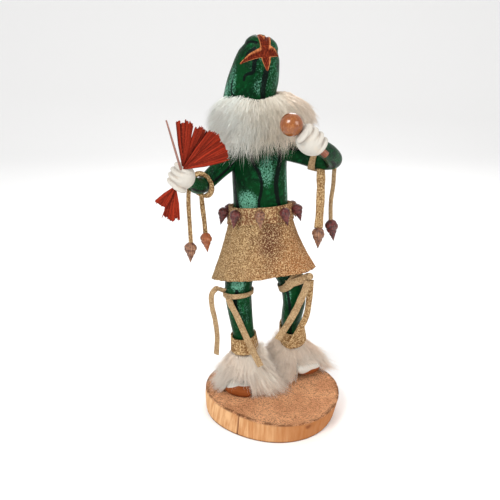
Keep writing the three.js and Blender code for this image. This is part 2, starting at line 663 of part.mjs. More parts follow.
export default doll;
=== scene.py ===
"""A carved and painted wooden dancer on a slice of wood, dressed in fur, suede and snail shells.

The shapes are worked out in millimetres and put into the scene in metres. The figure faces -Y.
"""

import math
from itertools import product

import bmesh
import bpy
import numpy as np
from mathutils import Matrix, Vector

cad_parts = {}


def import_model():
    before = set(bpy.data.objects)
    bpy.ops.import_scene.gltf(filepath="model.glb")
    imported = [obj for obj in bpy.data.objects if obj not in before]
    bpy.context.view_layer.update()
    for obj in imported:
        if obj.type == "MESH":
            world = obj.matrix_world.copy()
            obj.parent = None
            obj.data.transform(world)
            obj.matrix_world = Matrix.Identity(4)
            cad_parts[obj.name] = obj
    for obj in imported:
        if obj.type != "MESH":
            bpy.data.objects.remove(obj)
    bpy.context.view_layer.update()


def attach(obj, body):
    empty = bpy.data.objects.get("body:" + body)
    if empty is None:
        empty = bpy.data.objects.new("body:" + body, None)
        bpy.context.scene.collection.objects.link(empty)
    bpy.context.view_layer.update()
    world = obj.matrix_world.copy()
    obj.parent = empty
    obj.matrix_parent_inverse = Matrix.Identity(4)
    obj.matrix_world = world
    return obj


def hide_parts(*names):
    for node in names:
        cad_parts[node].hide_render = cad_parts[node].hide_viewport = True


bl_info = {
    "name": "Carved dancer",
    "version": (1, 0, 0),
    "blender": (4, 5, 0),
    "location": "View3D > Sidebar > Carved dancer",
    "description": "Dresses a carved wooden dancer: paint, fur, suede, feathers and shells",
    "category": "Object",
}

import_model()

MM = 0.001
GAP = 0.3
ACROSS = (1.0, 0.0, 0.0)
ALONG_DEPTH = (0.0, 1.0, 0.0)
UP = np.array((0.0, 0.0, 1.0))
FRAME_COUNT = 600

# Carved wood: a limb's stations are [x, y, z, radius across, radius the other way].
SOLE_Z = 18.7
NECK_Z = 250.0
STATIONS = {
    "trunk": (
        (-9, 12, 133, 19, 14), (-10.5, 12, 144, 21.8, 16.5), (-12, 12, 165, 22.4, 17),
        (-12, 12, 190, 22.4, 17), (-13, 12, 215, 22.3, 17), (-13, 12, 230, 22, 16.5),
        (-14, 12, 241, 16, 13), (-19, 12, 249, 11.8, 11), (-24, 12, 257, 11, 11),
    ),
    "right_leg": (
        (-26, 11, 140, 12.5, 12), (-30.5, 9, 113, 11.6, 11.6), (-29.5, 8.5, 95, 10.9, 10.9),
        (-26.4, 9, 70, 9.3, 9.3), (-24.5, 11, 46, 8.8, 9), (-24, 12, 27, 8.6, 9),
    ),
    "left_leg": (
        (4, 11, 140, 12.5, 12), (15, 8, 119, 11, 11.5), (17.5, 9, 101, 9.8, 10.5),
        (16, 14, 82, 9, 10), (18, 25, 60, 8.9, 9.6), (20, 33, 42, 8.8, 9), (21, 36, 28, 8.6, 9),
    ),
    "right_foot": (
        (-22, 18, 27, 8.5, 8.5), (-25, 8, 27, 9.5, 9.5), (-28.5, -3, 23.5, 11.4, 6.2),
        (-31, -10.5, 21.8, 12, 4.4),
    ),
    "left_foot": (
        (21, 41, 27, 8.5, 8.5), (25, 34, 27.5, 9.5, 9.5), (30, 25, 27.4, 11.8, 6.8),
        (33.6, 19.5, 28.4, 12.8, 5.6),
    ),
    "head": (
        (-26, 12, 240, 15, 14), (-24.4, 12, 251, 18.6, 17), (-22.6, 12, 263, 20, 18.3),
        (-20.2, 11.5, 276, 19.9, 18.6), (-17.2, 11, 287, 19.2, 18.2), (-15.2, 10.5, 296, 17.8, 17.3),
        (-13.4, 10, 303, 16, 15.8), (-12, 9.5, 308.5, 13, 13),
    ),
    "right_arm": (
        (-28, 11, 229, 8.6, 8.6), (-44, 9.5, 216, 7.6, 7.6), (-57.5, 5.5, 204, 6.8, 6.8),
        (-62, -4, 204.5, 6.5, 6.5), (-66.5, -16, 210.5, 5.6, 5.6), (-70, -25, 215.5, 5.4, 5.4),
    ),
    "left_arm": (
        (3, 11, 232, 8.8, 8.6), (20, 8, 227.5, 7.8, 7.8), (36, 3, 223.5, 7.4, 7.4),
        (44, -4, 225, 7, 7), (40, -18, 232.5, 6.5, 6.5), (30, -34, 241, 6, 6),
    ),
}
HEAD_DOME = 0.73
FIST_RADIUS = 9.4
# Fists: [middle, the way the grip runs, the way the knuckles face, from finger to finger].
FISTS = {
    "right": ((-71.2, -30, 217.6), (0.46, -0.05, 0.89), (-0.45, -0.86, 0.22), 4.4),
    "left": ((22.8, -41, 245.8), (0.74, 0.2, -0.64), (0.1, -0.62, 0.6), 5.2),
}
BALL_RADIUS = 8.4
BALL_OFFSET = 19.0
STICK_RADIUS = 2.6
STICK_REACH = 16.5

# The star cut into the top of the head: each arm's tip and half width.
STAR_CENTRE = (-9, -2.8, 305.4)
STAR_IN = (-0.15, 0.75, -0.65)
STAR_DEPTH = 3.6
STAR_ARMS = (
    ((-27.5, -2, 297.5), 3.8), ((-7.3, -6.4, 293.4), 4.6), ((2.6, 3, 306), 4.2),
    ((-7.6, 17.2, 321.1), 3.5), ((-16.2, 13.2, 322.6), 3.5),
)

# Black painted lines, as points on the wood and a half width at each end.
HEAD_LINES = (
    (((-15.7, -5.3, 302.2), (-17.2, -6.2, 298.4), (-17.5, -6.5, 294.5), (-18.6, -6.7, 291.2),
      (-22, -6.3, 290.1), (-24.2, -5.7, 288.7), (-25, -5.8, 285.8)), 1.7, 0.9),
    (((-7.8, -4.5, 294), (-8.6, -4.9, 291.1), (-9.3, -5, 287.5), (-10.4, -5.2, 282.1),
      (-10.7, -4.9, 276.2), (-10.4, -4.4, 266)), 2.2, 2.2),
    (((-31.8, -0.8, 291.3), (-33.7, -0.3, 285.4), (-34.3, -0.7, 281.8), (-34.2, -1.5, 276.3),
      (-32.6, -2.9, 273.8)), 0.5, 1),
    (((-2.9, 0, 300.6), (-0.9, 2.5, 296.9), (0, 3.8, 293.2)), 0.6, 1.1),
    (((-27, 4.5, 306.5), (-25.4, 3.7, 309.5), (-22.7, 3.3, 312), (-19, 0.7, 312.7),
      (-15.7, -1, 312)), 0.8, 1.4),
    (((-17.2, -2.9, 307.8), (-21.2, -3, 305.7), (-23.5, -3.5, 302.2), (-26, -3.2, 298)), 1.7, 0.7),
)
TRUNK_LINES = (
    (((-19.5, -3.7, 232), (-18.9, -3.7, 225.9), (-16.6, -4.3, 220.4), (-13.4, -4.9, 215),
      (-11.8, -4.9, 209.4), (-11.4, -4.8, 201.3), (-13.3, -4.8, 191.5), (-12.5, -4.9, 182)),
     1.5, 1.1),
    (((3.4, 0.9, 234), (3.1, 0.9, 228.2), (2.4, -0.1, 219.6), (0.9, -1, 212.6),
      (0.2, -1.6, 204.6), (1.1, -1.3, 195.6), (2.9, -0.5, 187.1), (4, 0, 180)), 2.5, 1.7),
    (((-33, 5.4, 230), (-33.2, 5.4, 223.3), (-32.9, 4.9, 211.3), (-32.6, 5, 199),
      (-30.2, 2.7, 183.7)), 1.2, 2),
)
# Lines up the back and legs: [limb, angle round it, start, end, sway, half width].
WAVY_LINES = (
    ("trunk", 0.2, 0.3, 0.85, 0.09, 1.8), ("trunk", 1.15, 0.25, 0.85, 0.12, 1.5),
    ("trunk", 1.95, 0.3, 0.85, 0.1, 2.1), ("trunk", 2.75, 0.3, 0.85, 0.08, 1.3),
    ("right_leg", -0.15, 0.2, 0.75, 0.16, 1.3), ("right_leg", 1.6, 0.2, 0.75, 0.2, 1.5),
    ("right_leg", 3.9, 0.35, 0.75, 0.14, 1.1), ("right_leg", -1.25, 0.2, 0.5, 0.2, 0.9),
    ("left_leg", -0.7, 0.15, 0.75, 0.15, 2.2), ("left_leg", 1.9, 0.15, 0.75, 0.2, 1.4),
    ("right_arm", 0.9, 0.1, 0.8, 0.2, 1), ("right_arm", 2.9, 0.1, 0.8, 0.25, 1.1),
    ("right_arm", 4.9, 0.15, 0.8, 0.2, 0.9), ("left_arm", 0.4, 0.1, 0.8, 0.2, 1.1),
    ("left_arm", 2.6, 0.1, 0.8, 0.25, 1.2), ("left_arm", 4.6, 0.1, 0.8, 0.2, 1),
    ("head", 0.6, 0.25, 0.9, 0.16, 1.4), ("head", 1.6, 0.2, 0.95, 0.2, 1.7),
    ("head", 2.5, 0.25, 0.9, 0.18, 1.2),
)

# Slab.
SLAB_HEIGHT = 18.4
SLAB_RADIUS = 57.8
SLAB_TAPER = 1.4
SLAB_WAVES = ((1, 3.9, 1.35, 3.2, 1.93), (2, 3.1, -1.21, 0.8, -0.49), (3, 1.9, 2.13, 1.6, 2.64))

# Fur: rows are [height, share of the full spread].
RUFF_CENTRE = (-11.5, 8, 253)
RUFF_ROWS = ((-22, 0.7), (-18, 0.84), (-9, 0.97), (0, 1), (8, 0.95), (15, 0.8), (19, 0.62))
RUFF_HALF_WIDTH = 40.0
RUFF_HALF_DEPTH = 33.0
ANKLE_ROWS = ((0, 1), (6, 0.98), (16, 0.85), (26, 0.7), (33, 0.6))
ANKLE_HALF_WIDTH = 27.5
ANKLE_HALF_DEPTH = 18.0
RUFF_RISE = 7.0
# Ankles: [middle of the fur, how far behind the toe's middle the moccasin starts to show, how
# high above the sole it shows, the angle on which hairs stand up, lobes]. A lobe is [angle,
# share more than the usual reach, width, how fast it narrows upwards].
ANKLES = {
    "right": ((-23.5, 9), -5.0, 9.2, -0.3,
              ((3.3, 0.1, 0.8, 1.2), (-0.75, 0.6, 0.5, 1.2), (-1.72, 0.42, 0.5, 0.4))),
    "left": ((25, 35), -12.0, 14.0, 3.3,
             ((0.2, 0.15, 0.8, 1.2), (-2.15, 1.4, 0.42, 1.0), (-2.9, 0.4, 0.6, 0.1))),
}

# Suede.
WAIST_CENTRE = (-12, 12)
WAIST_RADII = (22.4, 17)
WAIST_Z = 185.0
HEM_CENTRE = (-8.2, 11)
HEM_Z = 126.0
KILT_CLEARANCE = 0.6
BELT_HEIGHT = 13.5
BELT_OUT = 2.4
BELT_THICKNESS = 1.6
FRONT = (0.0, -1.0, 0.0)
KNOT = (28.6, -4.6, 127.8)
KNOT_SIZES = (3.4, 2.6, 3.2)
# Bands: [name, limb, start along it, width, how far off it, thickness, lean, flare, coarse].
BANDS = (
    ("right_arm_band", "right_arm", 0.43, 4.2, 3.4, 1.5, 0, -3.0, True),
    ("left_arm_band", "left_arm", 0.3, 6.1, 0.45, 1.5, 0, 0, False),
    ("right_knee_band", "right_leg", 0.22, 5.2, 0.3, 1.5, -0.012, 0, False),
    ("right_ankle_cuff", "right_leg", 0.61, 13.7, 0.3, 1.7, 0, 1.5, True),
    ("left_ankle_cuff", "left_leg", 0.56, 16.8, 0.3, 1.7, 0, 1.5, True),
)
# Thongs: [name, points, width, the way the flat side faces, how far the hidden upper end reaches
# up behind its band, rough side out, and the shell at the end: its direction, size and colour].
THONGS = (
    ("right_arm_thong_outer", ((-68.4, -13, 202.4), (-68.7, -13.5, 192), (-68.2, -14, 176),
     (-67.7, -14, 160.4)), 3.4, FRONT, (0.5, 1, 2.5), True, ((-0.05, 0, -1), 1.0, "speckled")),
    ("right_arm_thong_inner", ((-59.6, 2, 195.6), (-59, 0.8, 187), (-57.7, 0, 175),
     (-56.9, 0, 164)), 3.8, FRONT, (0, 0, 2.5), True, ((0.08, 0, -1), 0.98, "orange")),
    ("left_arm_thong_inner", ((35.4, -3, 214.6), (35.5, -5, 203), (35.3, -6, 186),
     (34.7, -6, 170.4)), 6.8, FRONT, (0, 2, 3.0), True, ((0, 0, -1), 1.05, "speckled")),
    ("left_arm_thong_outer", ((46, -1, 216.2), (46, 1, 204), (44.8, 2, 190), (45.2, 2, 174.6)),
     3.4, (-0.5, -0.87, 0), (0, -1, 3.0), False, ((0.17, 0, -1), 1.08, "maroon")),
    ("right_knee_thong_outer", ((-45.2, 2, 113.6), (-48.6, -1, 115.6), (-52.4, -4, 112),
     (-52.6, -5, 102), (-50, -5.4, 88), (-48.6, -5, 73), (-49.6, -5, 56)), 5.0,
     (-0.55, -0.83, 0), (3.5, 0.5, -1.5), False, None),
    ("right_knee_thong_front", ((-38.2, -4.6, 105.4), (-32.3, -5, 93.6), (-25.6, -6.4, 77.6),
     (-18.4, -9.4, 62), (-11.4, -12.6, 48.5)), 5.6, (-0.3, -0.95, 0.1), (-0.5, 1, 2.5), False,
     None),
    ("left_knee_thong_inner", ((27, -6.6, 122.9), (24, -6.6, 113), (17.6, -6.2, 97),
     (10.4, -6, 83), (3, -5.4, 70.5)), 6.0, (0.1, -1, 0.1), (0.5, 0, 1.5), False, None),
    ("left_knee_thong_outer", ((30, -3.6, 122.6), (29.4, -1.8, 106), (27.4, -0.6, 90),
     (21.4, 0, 76), (12.6, 0.4, 59)), 5.6, (0.25, -1, 0.1), (0, 0, 1.5), True, None),
)
THONG_THICKNESS = 1.2
KNEE_WIDTH = 7.4
SHELL_LENGTH = 17.0
BELT_SHELLS = 9
BELT_SHELL_LENGTH = 15.5
FIRST_SHELL_TURN = 188.0
PALE_BELT_SHELLS = (2, 5)
SHELL_SINK = 1.2
SHELL_OVERLAP = 0.6

# Feathers: [name, turn from straight up in degrees, length, width at the cut end, layer].
FAN_ROOT = (-69.9, -35, 224.5)
TAIL_ROOT = (-76.6, -30, 210)
FEATHER_SPACING = 1.2
FEATHERS = (
    ("feather_fan_1", FAN_ROOT, 4.2, 35.6, 12.5, 0), ("feather_fan_2", FAN_ROOT, 26.8, 33.5, 9.6, 1),
    ("feather_fan_3", FAN_ROOT, 45, 36.5, 11.4, -1), ("feather_fan_4", FAN_ROOT, 65.6, 36, 15.5, -2),
    ("feather_tail_1", TAIL_ROOT, 221, 20, 9.5, 0), ("feather_tail_2", TAIL_ROOT, 190, 27, 14, 1),
)
QUILL_LENGTH = 37.0


# Numbers.


def unit(vectors):
    vectors = np.asarray(vectors, float)
    return vectors / np.linalg.norm(vectors, axis=-1, keepdims=True)


def smooth_path(points, count):
    """Points spread along a smooth curve through the given ones."""
    points = np.asarray(points, float)
    padded = np.vstack([2 * points[0] - points[1], points, 2 * points[-1] - points[-2]])
    knots = np.sqrt(np.linalg.norm(np.diff(padded, axis=0), axis=1))
    place = np.linspace(0, len(points) - 1, count)
    start = np.minimum(place.astype(int), len(points) - 2)
    share = (place - start)[:, None]
    before, first, second, after = (padded[start + k] for k in range(4))
    middle = knots[start + 1]
    middle = np.where(middle < 1e-4, 1.0, middle)[:, None]
    early = knots[start][:, None]
    early = np.where(early < 1e-4, middle, early)
    late = knots[start + 2][:, None]
    late = np.where(late < 1e-4, middle, late)
    rise = (first - before) / early - (second - before) / (early + middle) + (second - first) / middle
    fall = (second - first) / middle - (after - first) / (middle + late) + (after - second) / late
    rise, fall = rise * middle, fall * middle
    square, cube = share**2, share**3
    return (
        first + rise * share + (3 * (second - first) - 2 * rise - fall) * square
        + (2 * (first - second) + rise + fall) * cube
    )


def lumps(points, size, seed=0):
    """Smooth random values from -1 to 1, in lumps of about the given size."""
    grid = np.asarray(points, float) / size + 4096.0
    base = np.floor(grid).astype(np.int64)
    ease = grid - base
    ease = ease * ease * (3 - 2 * ease)
    total = np.zeros(len(grid))
    for corner in product((0, 1), repeat=3):
        cell = base + corner
        mixed = cell[:, 0] * 73856093 ^ cell[:, 1] * 19349663 ^ cell[:, 2] * 83492791
        mixed = (mixed ^ seed * 2654435) & 0x7FFFFFFF
        mixed = (mixed ^ (mixed >> 13)) * 1274126177 & 0x7FFFFFFF
        value = ((mixed ^ (mixed >> 15)) & 0xFFFF) / 32767.5 - 1
        weight = np.prod(np.where(corner, ease, 1 - ease), axis=1)
        total += weight * value
    return total


def soft_step(value, low, high):
    share = np.clip((value - low) / (high - low), 0, 1)
    return share * share * (3 - 2 * share)


def bend(angle, start):
    """The turn from one angle to another, at most half a circle."""
    return (angle - start + math.pi) % (2 * math.pi) - math.pi


def oval(middle, wide, deep, angle, height):
    """Points round a level oval with these half sizes, at a height."""
    return np.stack([middle[0] + wide * np.cos(angle), middle[1] + deep * np.sin(angle), height],
                    axis=-1)


class Limb:
    """The run of a carved limb through its stations."""

    def __init__(self, stations, across=ACROSS):
        table = np.array(stations, float)
        self.place = np.linspace(0, 1, FRAME_COUNT)
        self.centres = smooth_path(table[:, :3], FRAME_COUNT)
        self.radii = smooth_path(table[:, 3:], FRAME_COUNT)
        self.tangents = unit(np.gradient(self.centres, axis=0))
        across = np.array(across, float)
        self.sides = unit(across - (self.tangents @ across)[:, None] * self.tangents)
        self.fronts = np.cross(self.tangents, self.sides)

    def at(self, table, t):
        return np.stack([np.interp(t, self.place, column) for column in table.T], axis=-1)

    def point(self, t, angle, out=0.0, share=1.0):
        """Points on the limb's surface, or out from it, or at a share of its radius."""
        t = np.asarray(t, float)
        radii = self.at(self.radii, t) + np.asarray(out)[..., None]
        side = self.at(self.sides, t) * (share * radii[..., 0] * np.cos(angle))[..., None]
        front = self.at(self.fronts, t) * (share * radii[..., 1] * np.sin(angle))[..., None]
        return self.at(self.centres, t) + side + front


LIMBS = {name: Limb(stations, ALONG_DEPTH if "arm" in name else ACROSS)
         for name, stations in STATIONS.items()}


def foot_axes(foot):
    """The ways that a foot and its side face, both level."""
    heading = unit(foot.tangents[-1] * (1, 1, 0))
    return heading, np.array((-heading[1], heading[0], 0))


def fist_axes(grip, knuckles):
    """A fist's own directions: along the grip, out over the knuckles, and across both."""
    along = unit(grip)
    out = np.array(knuckles, float)
    out = unit(out - (out @ along) * along)
    return along, out, np.cross(along, out)


RATTLE_GRIP = unit(FISTS["left"][1])
BALL_CENTRE = np.array(FISTS["left"][0]) - BALL_OFFSET * RATTLE_GRIP


# Meshes.


def read_vectors(items, key):
    values = np.empty(len(items) * 3)
    items.foreach_get(key, values)
    return values.reshape(-1, 3)


def read_points(mesh):
    return read_vectors(mesh.vertices, "co")


def write_points(mesh, points):
    mesh.vertices.foreach_set("co", np.asarray(points, np.float32).ravel())
    mesh.update()


def skin(name, columns, rows, place, weld=True):
    """A flat grid bent by place(u, v) into a skin in millimetres, its seam and poles welded."""
    shape = bmesh.new()
    bmesh.ops.create_grid(shape, x_segments=columns, y_segments=rows, size=0.5, calc_uvs=False)
    mesh = bpy.data.meshes.new(name)
    shape.to_mesh(mesh)
    flat = read_points(mesh)
    write_points(mesh, place(flat[:, 0] + 0.5, flat[:, 1] + 0.5))
    shape.clear()
    shape.from_mesh(mesh)
    if weld:
        bmesh.ops.remove_doubles(shape, verts=shape.verts, dist=1e-4)
        bmesh.ops.recalc_face_normals(shape, faces=shape.faces)
    shape.to_mesh(mesh)
    shape.free()
    return mesh


CAP_SHARE = 0.08


def limb_skin(name, limb, columns, rows, start_dome=0.0, end_dome=0.0, out=0.0):
    """A limb as a closed skin. Its ends bulge by a share of their radius."""

    def place(u, v):
        t = np.clip((v - CAP_SHARE) / (1 - 2 * CAP_SHARE), 0, 1)
        share = np.clip(np.minimum(v, 1 - v) / CAP_SHARE, 0, 1)
        turn = share * math.pi / 2
        points = limb.point(t, 2 * math.pi * u, out, np.sin(turn))
        radius = limb.at(limb.radii, t).mean(axis=1)
        dome = np.where(v < CAP_SHARE, -start_dome, np.where(v > 1 - CAP_SHARE, end_dome, 0))
        bulge = (dome * radius + np.sign(dome) * out) * np.cos(turn)
        return points + limb.at(limb.tangents, t) * bulge[:, None]

    return skin(name, columns, rows, place)


def egg(name, centre, axes, sizes):
    """An egg of three half-sizes along three directions at right angles."""
    shape = bmesh.new()
    bmesh.ops.create_uvsphere(shape, u_segments=40, v_segments=28, radius=1)
    mesh = bpy.data.meshes.new(name)
    shape.to_mesh(mesh)
    shape.free()
    write_points(mesh, np.array(centre) + (read_points(mesh) * sizes) @ np.array(axes))
    return mesh


def joined(name, meshes):
    """Several meshes as one, each still its own shells."""
    shape = bmesh.new()
    for mesh in meshes:
        shape.from_mesh(mesh)
        bpy.data.meshes.remove(mesh)
    whole = bpy.data.meshes.new(name)
    shape.to_mesh(whole)
    shape.free()
    return whole


def finished(name, mesh, *modifiers):
    """The mesh with modifiers worked into it: [kind, settings]."""
    carrier = bpy.data.objects.new(name, mesh)
    bpy.context.scene.collection.objects.link(carrier)
    for kind, settings in modifiers:
        modifier = carrier.modifiers.new(kind.title(), kind)
        for key, value in settings.items():
            setattr(modifier, key, value)
    graph = bpy.context.evaluated_depsgraph_get()
    result = bpy.data.meshes.new_from_object(carrier.evaluated_get(graph))
    bpy.data.objects.remove(carrier)
    bpy.data.meshes.remove(mesh)
    return result


def trimmed(mesh, height, keep_above):
    """The mesh cut flat at a height, and closed."""
    shape = bmesh.new()
    shape.from_mesh(mesh)
    everything = shape.verts[:] + shape.edges[:] + shape.faces[:]
    cut = bmesh.ops.bisect_plane(
        shape, geom=everything, dist=1e-4, plane_co=(0, 0, height), plane_no=(0, 0, 1),
        clear_inner=keep_above, clear_outer=not keep_above,
    )
    rim = [item for item in cut["geom_cut"] if isinstance(item, bmesh.types.BMEdge)]
    bmesh.ops.holes_fill(shape, edges=rim, sides=0)
    bmesh.ops.recalc_face_normals(shape, faces=shape.faces)
    shape.to_mesh(mesh)
    shape.free()
    return mesh


def record(mesh, name, values):
    """Keeps a value or a colour for each vertex under a name that its material reads."""
    values = np.asarray(values, np.float32)
    if values.ndim == 1:
        mesh.attributes.new(name, "FLOAT", "POINT").data.foreach_set("value", values)
        return
    full = np.ones((len(values), 4), np.float32)
    full[:, : values.shape[1]] = values
    mesh.attributes.new(name, "FLOAT_COLOR", "POINT").data.foreach_set("color", full.ravel())


def place_piece(name, mesh, material, slot, *nodes):
    """Puts a mesh that is in millimetres into the scene, standing for the named nodes."""
    mesh.transform(Matrix.Scale(MM, 4))
    mesh.polygons.foreach_set("use_smooth", np.ones(len(mesh.polygons), bool))
    mesh.update()
    mesh.materials.clear()
    mesh.materials.append(material)
    made = bpy.data.objects.new(name, mesh)
    bpy.context.scene.collection.objects.link(made)
    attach(made, "root")
    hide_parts(*nodes)
    return made


# Materials.


class Nodes:
    """The nodes of a material or a group. Its noises read one vector, the place."""

    def __init__(self, tree, place=None):
        self.tree = tree
        self.place = place or self.add("TexCoord")["Object"]

    def add(self, kind, inputs=None, **settings):
        """A new node's outputs. An input that is given a socket is linked to it."""
        made = self.tree.nodes.new("ShaderNode" + kind)
        for key, value in settings.items():
            setattr(made, key, value)
        for key, value in (inputs or {}).items():
            if isinstance(value, bpy.types.NodeSocket):
                self.tree.links.new(value, made.inputs[key])
            else:
                made.inputs[key].default_value = value
        return made.outputs

    def maths(self, operation, first, second):
        return self.add("Math", {0: first, 1: second}, operation=operation)[0]

    def plus(self, first, second):
        return self.maths("ADD", first, second)

    def times(self, first, second):
        return self.maths("MULTIPLY", first, second)

    def rest(self, value):
        """What a share leaves of 1."""
        return self.maths("SUBTRACT", 1.0, value)

    def mix(self, share, first, second, amount=1.0):
        """One colour into another by a share, or by an amount of the share."""
        share = share if amount == 1 else self.times(share, amount)
        return self.add("Mix", {0: share, 6: first, 7: second}, data_type="RGBA")[2]

    def layered(self, colour, *layers):
        """A colour with others over it: [share, colour] or [share, colour, amount]."""
        for share, over, *amount in layers:
            colour = self.mix(share, colour, over, *amount)
        return colour

    def step(self, value, low, high):
        """0 below low and 1 above high, eased between."""
        return self.add("MapRange", {"Value": value, "From Min": low, "From Max": high},
                        interpolation_type="SMOOTHSTEP")["Result"]

    def stretched(self, scale):
        return self.add("Mapping", {"Vector": self.place, "Scale": scale})["Vector"]

    def noise(self, scale, detail=3.0, roughness=0.55, distortion=0.0, stretch=None):
        place = self.stretched(stretch) if stretch else self.place
        return self.add("TexNoise", {"Vector": place, "Scale": scale, "Detail": detail,
                                     "Roughness": roughness, "Distortion": distortion})["Fac"]

    def patches(self, scale, low, high, detail=3.0):
        """Blotches of a noise: 0 where it is below low and 1 above high."""
        return self.step(self.noise(scale, detail), low, high)

    def mark(self, name, output="Fac"):
        return self.add("Attribute", attribute_name=name)[output]


def rgb(red, green, blue):
    """A colour as it looks on a screen, 0 to 255, for a node."""
    linear = [c / 12.92 if c <= 0.04045 else ((c + 0.055) / 1.055) ** 2.4
              for c in (red / 255, green / 255, blue / 255)]
    return (*linear, 1.0)


def group(name, inputs, outputs, build):
    """A shader node group with named sockets, built once."""
    if name in bpy.data.node_groups:
        return bpy.data.node_groups[name]
    tree = bpy.data.node_groups.new(name, "ShaderNodeTree")
    for way, sockets in (("INPUT", {"Position": "Vector", **inputs}), ("OUTPUT", outputs)):
        for socket, kind in sockets.items():
            tree.interface.new_socket(socket, in_out=way, socket_type="NodeSocket" + kind)
    given = tree.nodes.new("NodeGroupInput").outputs
    wanted = tree.nodes.new("NodeGroupOutput").inputs
    for socket, value in build(Nodes(tree, given["Position"]), given).items():
        tree.links.new(value, wanted[socket])
    return tree


def material(name, paint, **constants):
    """A material: paint(nodes) gives the shader's linked sockets and a bump."""
    if name in bpy.data.materials:
        return bpy.data.materials[name]
    made = bpy.data.materials.new(name)
    made.use_nodes = True
    tree = made.node_tree
    shader = tree.nodes["Principled BSDF"]
    for key, value in constants.items():
        shader.inputs[key.replace("_", " ")].default_value = value
    nodes = Nodes(tree)
    sockets = paint(nodes)
    height, depth = sockets.pop("height", None), sockets.pop("depth", None)
    for key, value in sockets.items():
        tree.links.new(value, shader.inputs[key])
    if height:
        bump = nodes.add("Bump", {"Height": height, "Strength": 1.0, "Distance": depth})
        tree.links.new(bump["Normal"], shader.inputs["Normal"])
    return made


def mottle(n, place, tones, broad, fine):
    """Two sizes of blotch that carry a base colour to a darker and a lighter one."""

    def build(inner, given):
        wide = inner.patches(given["Broad Scale"], 0.42, 0.66)
        small = inner.patches(given["Fine Scale"], 0.5, 0.72, 4.0)
        dark = inner.mix(wide, given["Base"], given["Dark"], given["Broad Amount"])
        light = inner.mix(small, dark, given["Light"], given["Fine Amount"])
        return {"Colour": light, "Fine": small}

    colours = ("Base", "Dark", "Light")
    numbers = ("Broad Scale", "Broad Amount", "Fine Scale", "Fine Amount")
    shared = group(
        "Mottle", {**dict.fromkeys(colours, "Color"), **dict.fromkeys(numbers, "Float")},
        {"Colour": "Color", "Fine": "Float"}, build)
    return n.add("Group", {"Position": place, **dict(zip(colours, tones)),
                           **dict(zip(numbers, (*broad, *fine)))}, node_tree=shared)


def nap(n, scale):
    """The coarse nap of split suede: clumped speckles, with a height to match."""

    def build(inner, given):
        clump = inner.noise(given["Scale"], 3.0, 0.6, 0.3)
        pits = inner.add("TexVoronoi", {"Vector": inner.place, "Scale": given["Scale"]},
                         feature="F1")["Distance"]
        return {"Height": inner.plus(clump, inner.times(pits, 0.35)),
                "Speckle": inner.rest(inner.step(clump, 0.4, 0.49)),
                "Glint": inner.step(clump, 0.52, 0.6)}

    shared = group("Nap", {"Scale": "Float"},
                   {"Height": "Float", "Speckle": "Float", "Glint": "Float"}, build)
    return n.add("Group", {"Position": n.place, "Scale": scale}, node_tree=shared)


def painted_wood():
    """Green paint with rubbed pale patches, black lines, white hands and feet with painted shade in the
    hands' creases, and bare cuts with a painted highlight round their rims.
    """
    tones = bpy.context.scene.dress_wood

    def paint(n):
        mottled = mottle(n, n.place, (tones.deep_green, tones.dark_green, tones.bright_green),
                         (70.0, 0.75), (320.0, 0.55))
        worn = n.mark("worn")
        grain = n.noise(1300.0, 3.0, 0.7, stretch=(1.0, 1.0, 0.6))
        rubbed = n.step(n.plus(grain, n.times(worn, 0.2)), 0.62, 0.7)
        ragged = n.times(n.plus(n.noise(420.0), -0.5), 0.5)
        line = n.step(n.plus(n.mark("line"), ragged), 0.38, 0.58)
        white = n.step(n.plus(n.mark("white"), ragged), 0.4, 0.55)
        # The white of the hands and moccasins: painted shade greys it in the hands' creases, and random
        # blotches warm it.
        chalk = n.layered(tones.hand_white, (n.mark("hollow"), rgb(164, 156, 148)),
                          (n.patches(190.0, 0.5, 0.75), rgb(206, 190, 170), 0.35))
        sole = n.step(n.mark("sole"), 0.42, 0.52)
        fibre = n.noise(300.0, stretch=(1.0, 1.0, 4.0))
        cut = n.mark("cut")
        streaks = n.noise(420.0, 4.0, stretch=(3.0, 3.0, 0.7))
        # A painted highlight along the rim of the star's cut, where its walls would catch the light.
        # The cut's own red-brown, with grain streaks, fills the rest.
        light = n.times(n.rest(n.step(cut, 0.56, 0.74)), n.step(streaks, 0.3, 0.55))
        inside = n.layered(tones.star_red, (n.step(streaks, 0.42, 0.7), rgb(138, 54, 28)),
                           (light, tones.star_rim_highlight))
        bared = n.step(cut, 0.48, 0.52)
        colour = n.layered(
            mottled["Colour"], (n.times(rubbed, n.times(worn, 0.8)), tones.pale_green),
            (line, tones.line_black, 0.92), (white, chalk),
            (sole, n.mix(fibre, tones.sole_brown, rgb(104, 48, 20))), (bared, inside))
        matt = n.plus(n.times(mottled["Fine"], 0.16), 0.28)
        bare = n.maths("MAXIMUM", n.maths("MAXIMUM", bared, white), sole)
        tooled = n.noise(800.0, 3.0, 0.6, stretch=(1.0, 1.0, 0.5))
        return {"Base Color": colour, "Roughness": n.plus(matt, n.times(bare, 0.28)),
                "height": tooled, "depth": 0.0004}

    return material("Painted wood", paint, Specular_IOR_Level=0.05)


def varnished_wood(name, base, dark, gloss):
    """Turned wood under a clear varnish."""

    def paint(n):
        mottled = mottle(n, n.stretched((1.0, 1.0, 0.6)), (base, dark, rgb(206, 140, 82)),
                         (130.0, 0.5), (700.0, 0.25))
        return {"Base Color": mottled["Colour"], "height": mottled["Fine"], "depth": 0.00004}

    return material(name, paint, Roughness=gloss, Coat_Weight=0.3, Coat_Roughness=0.08)


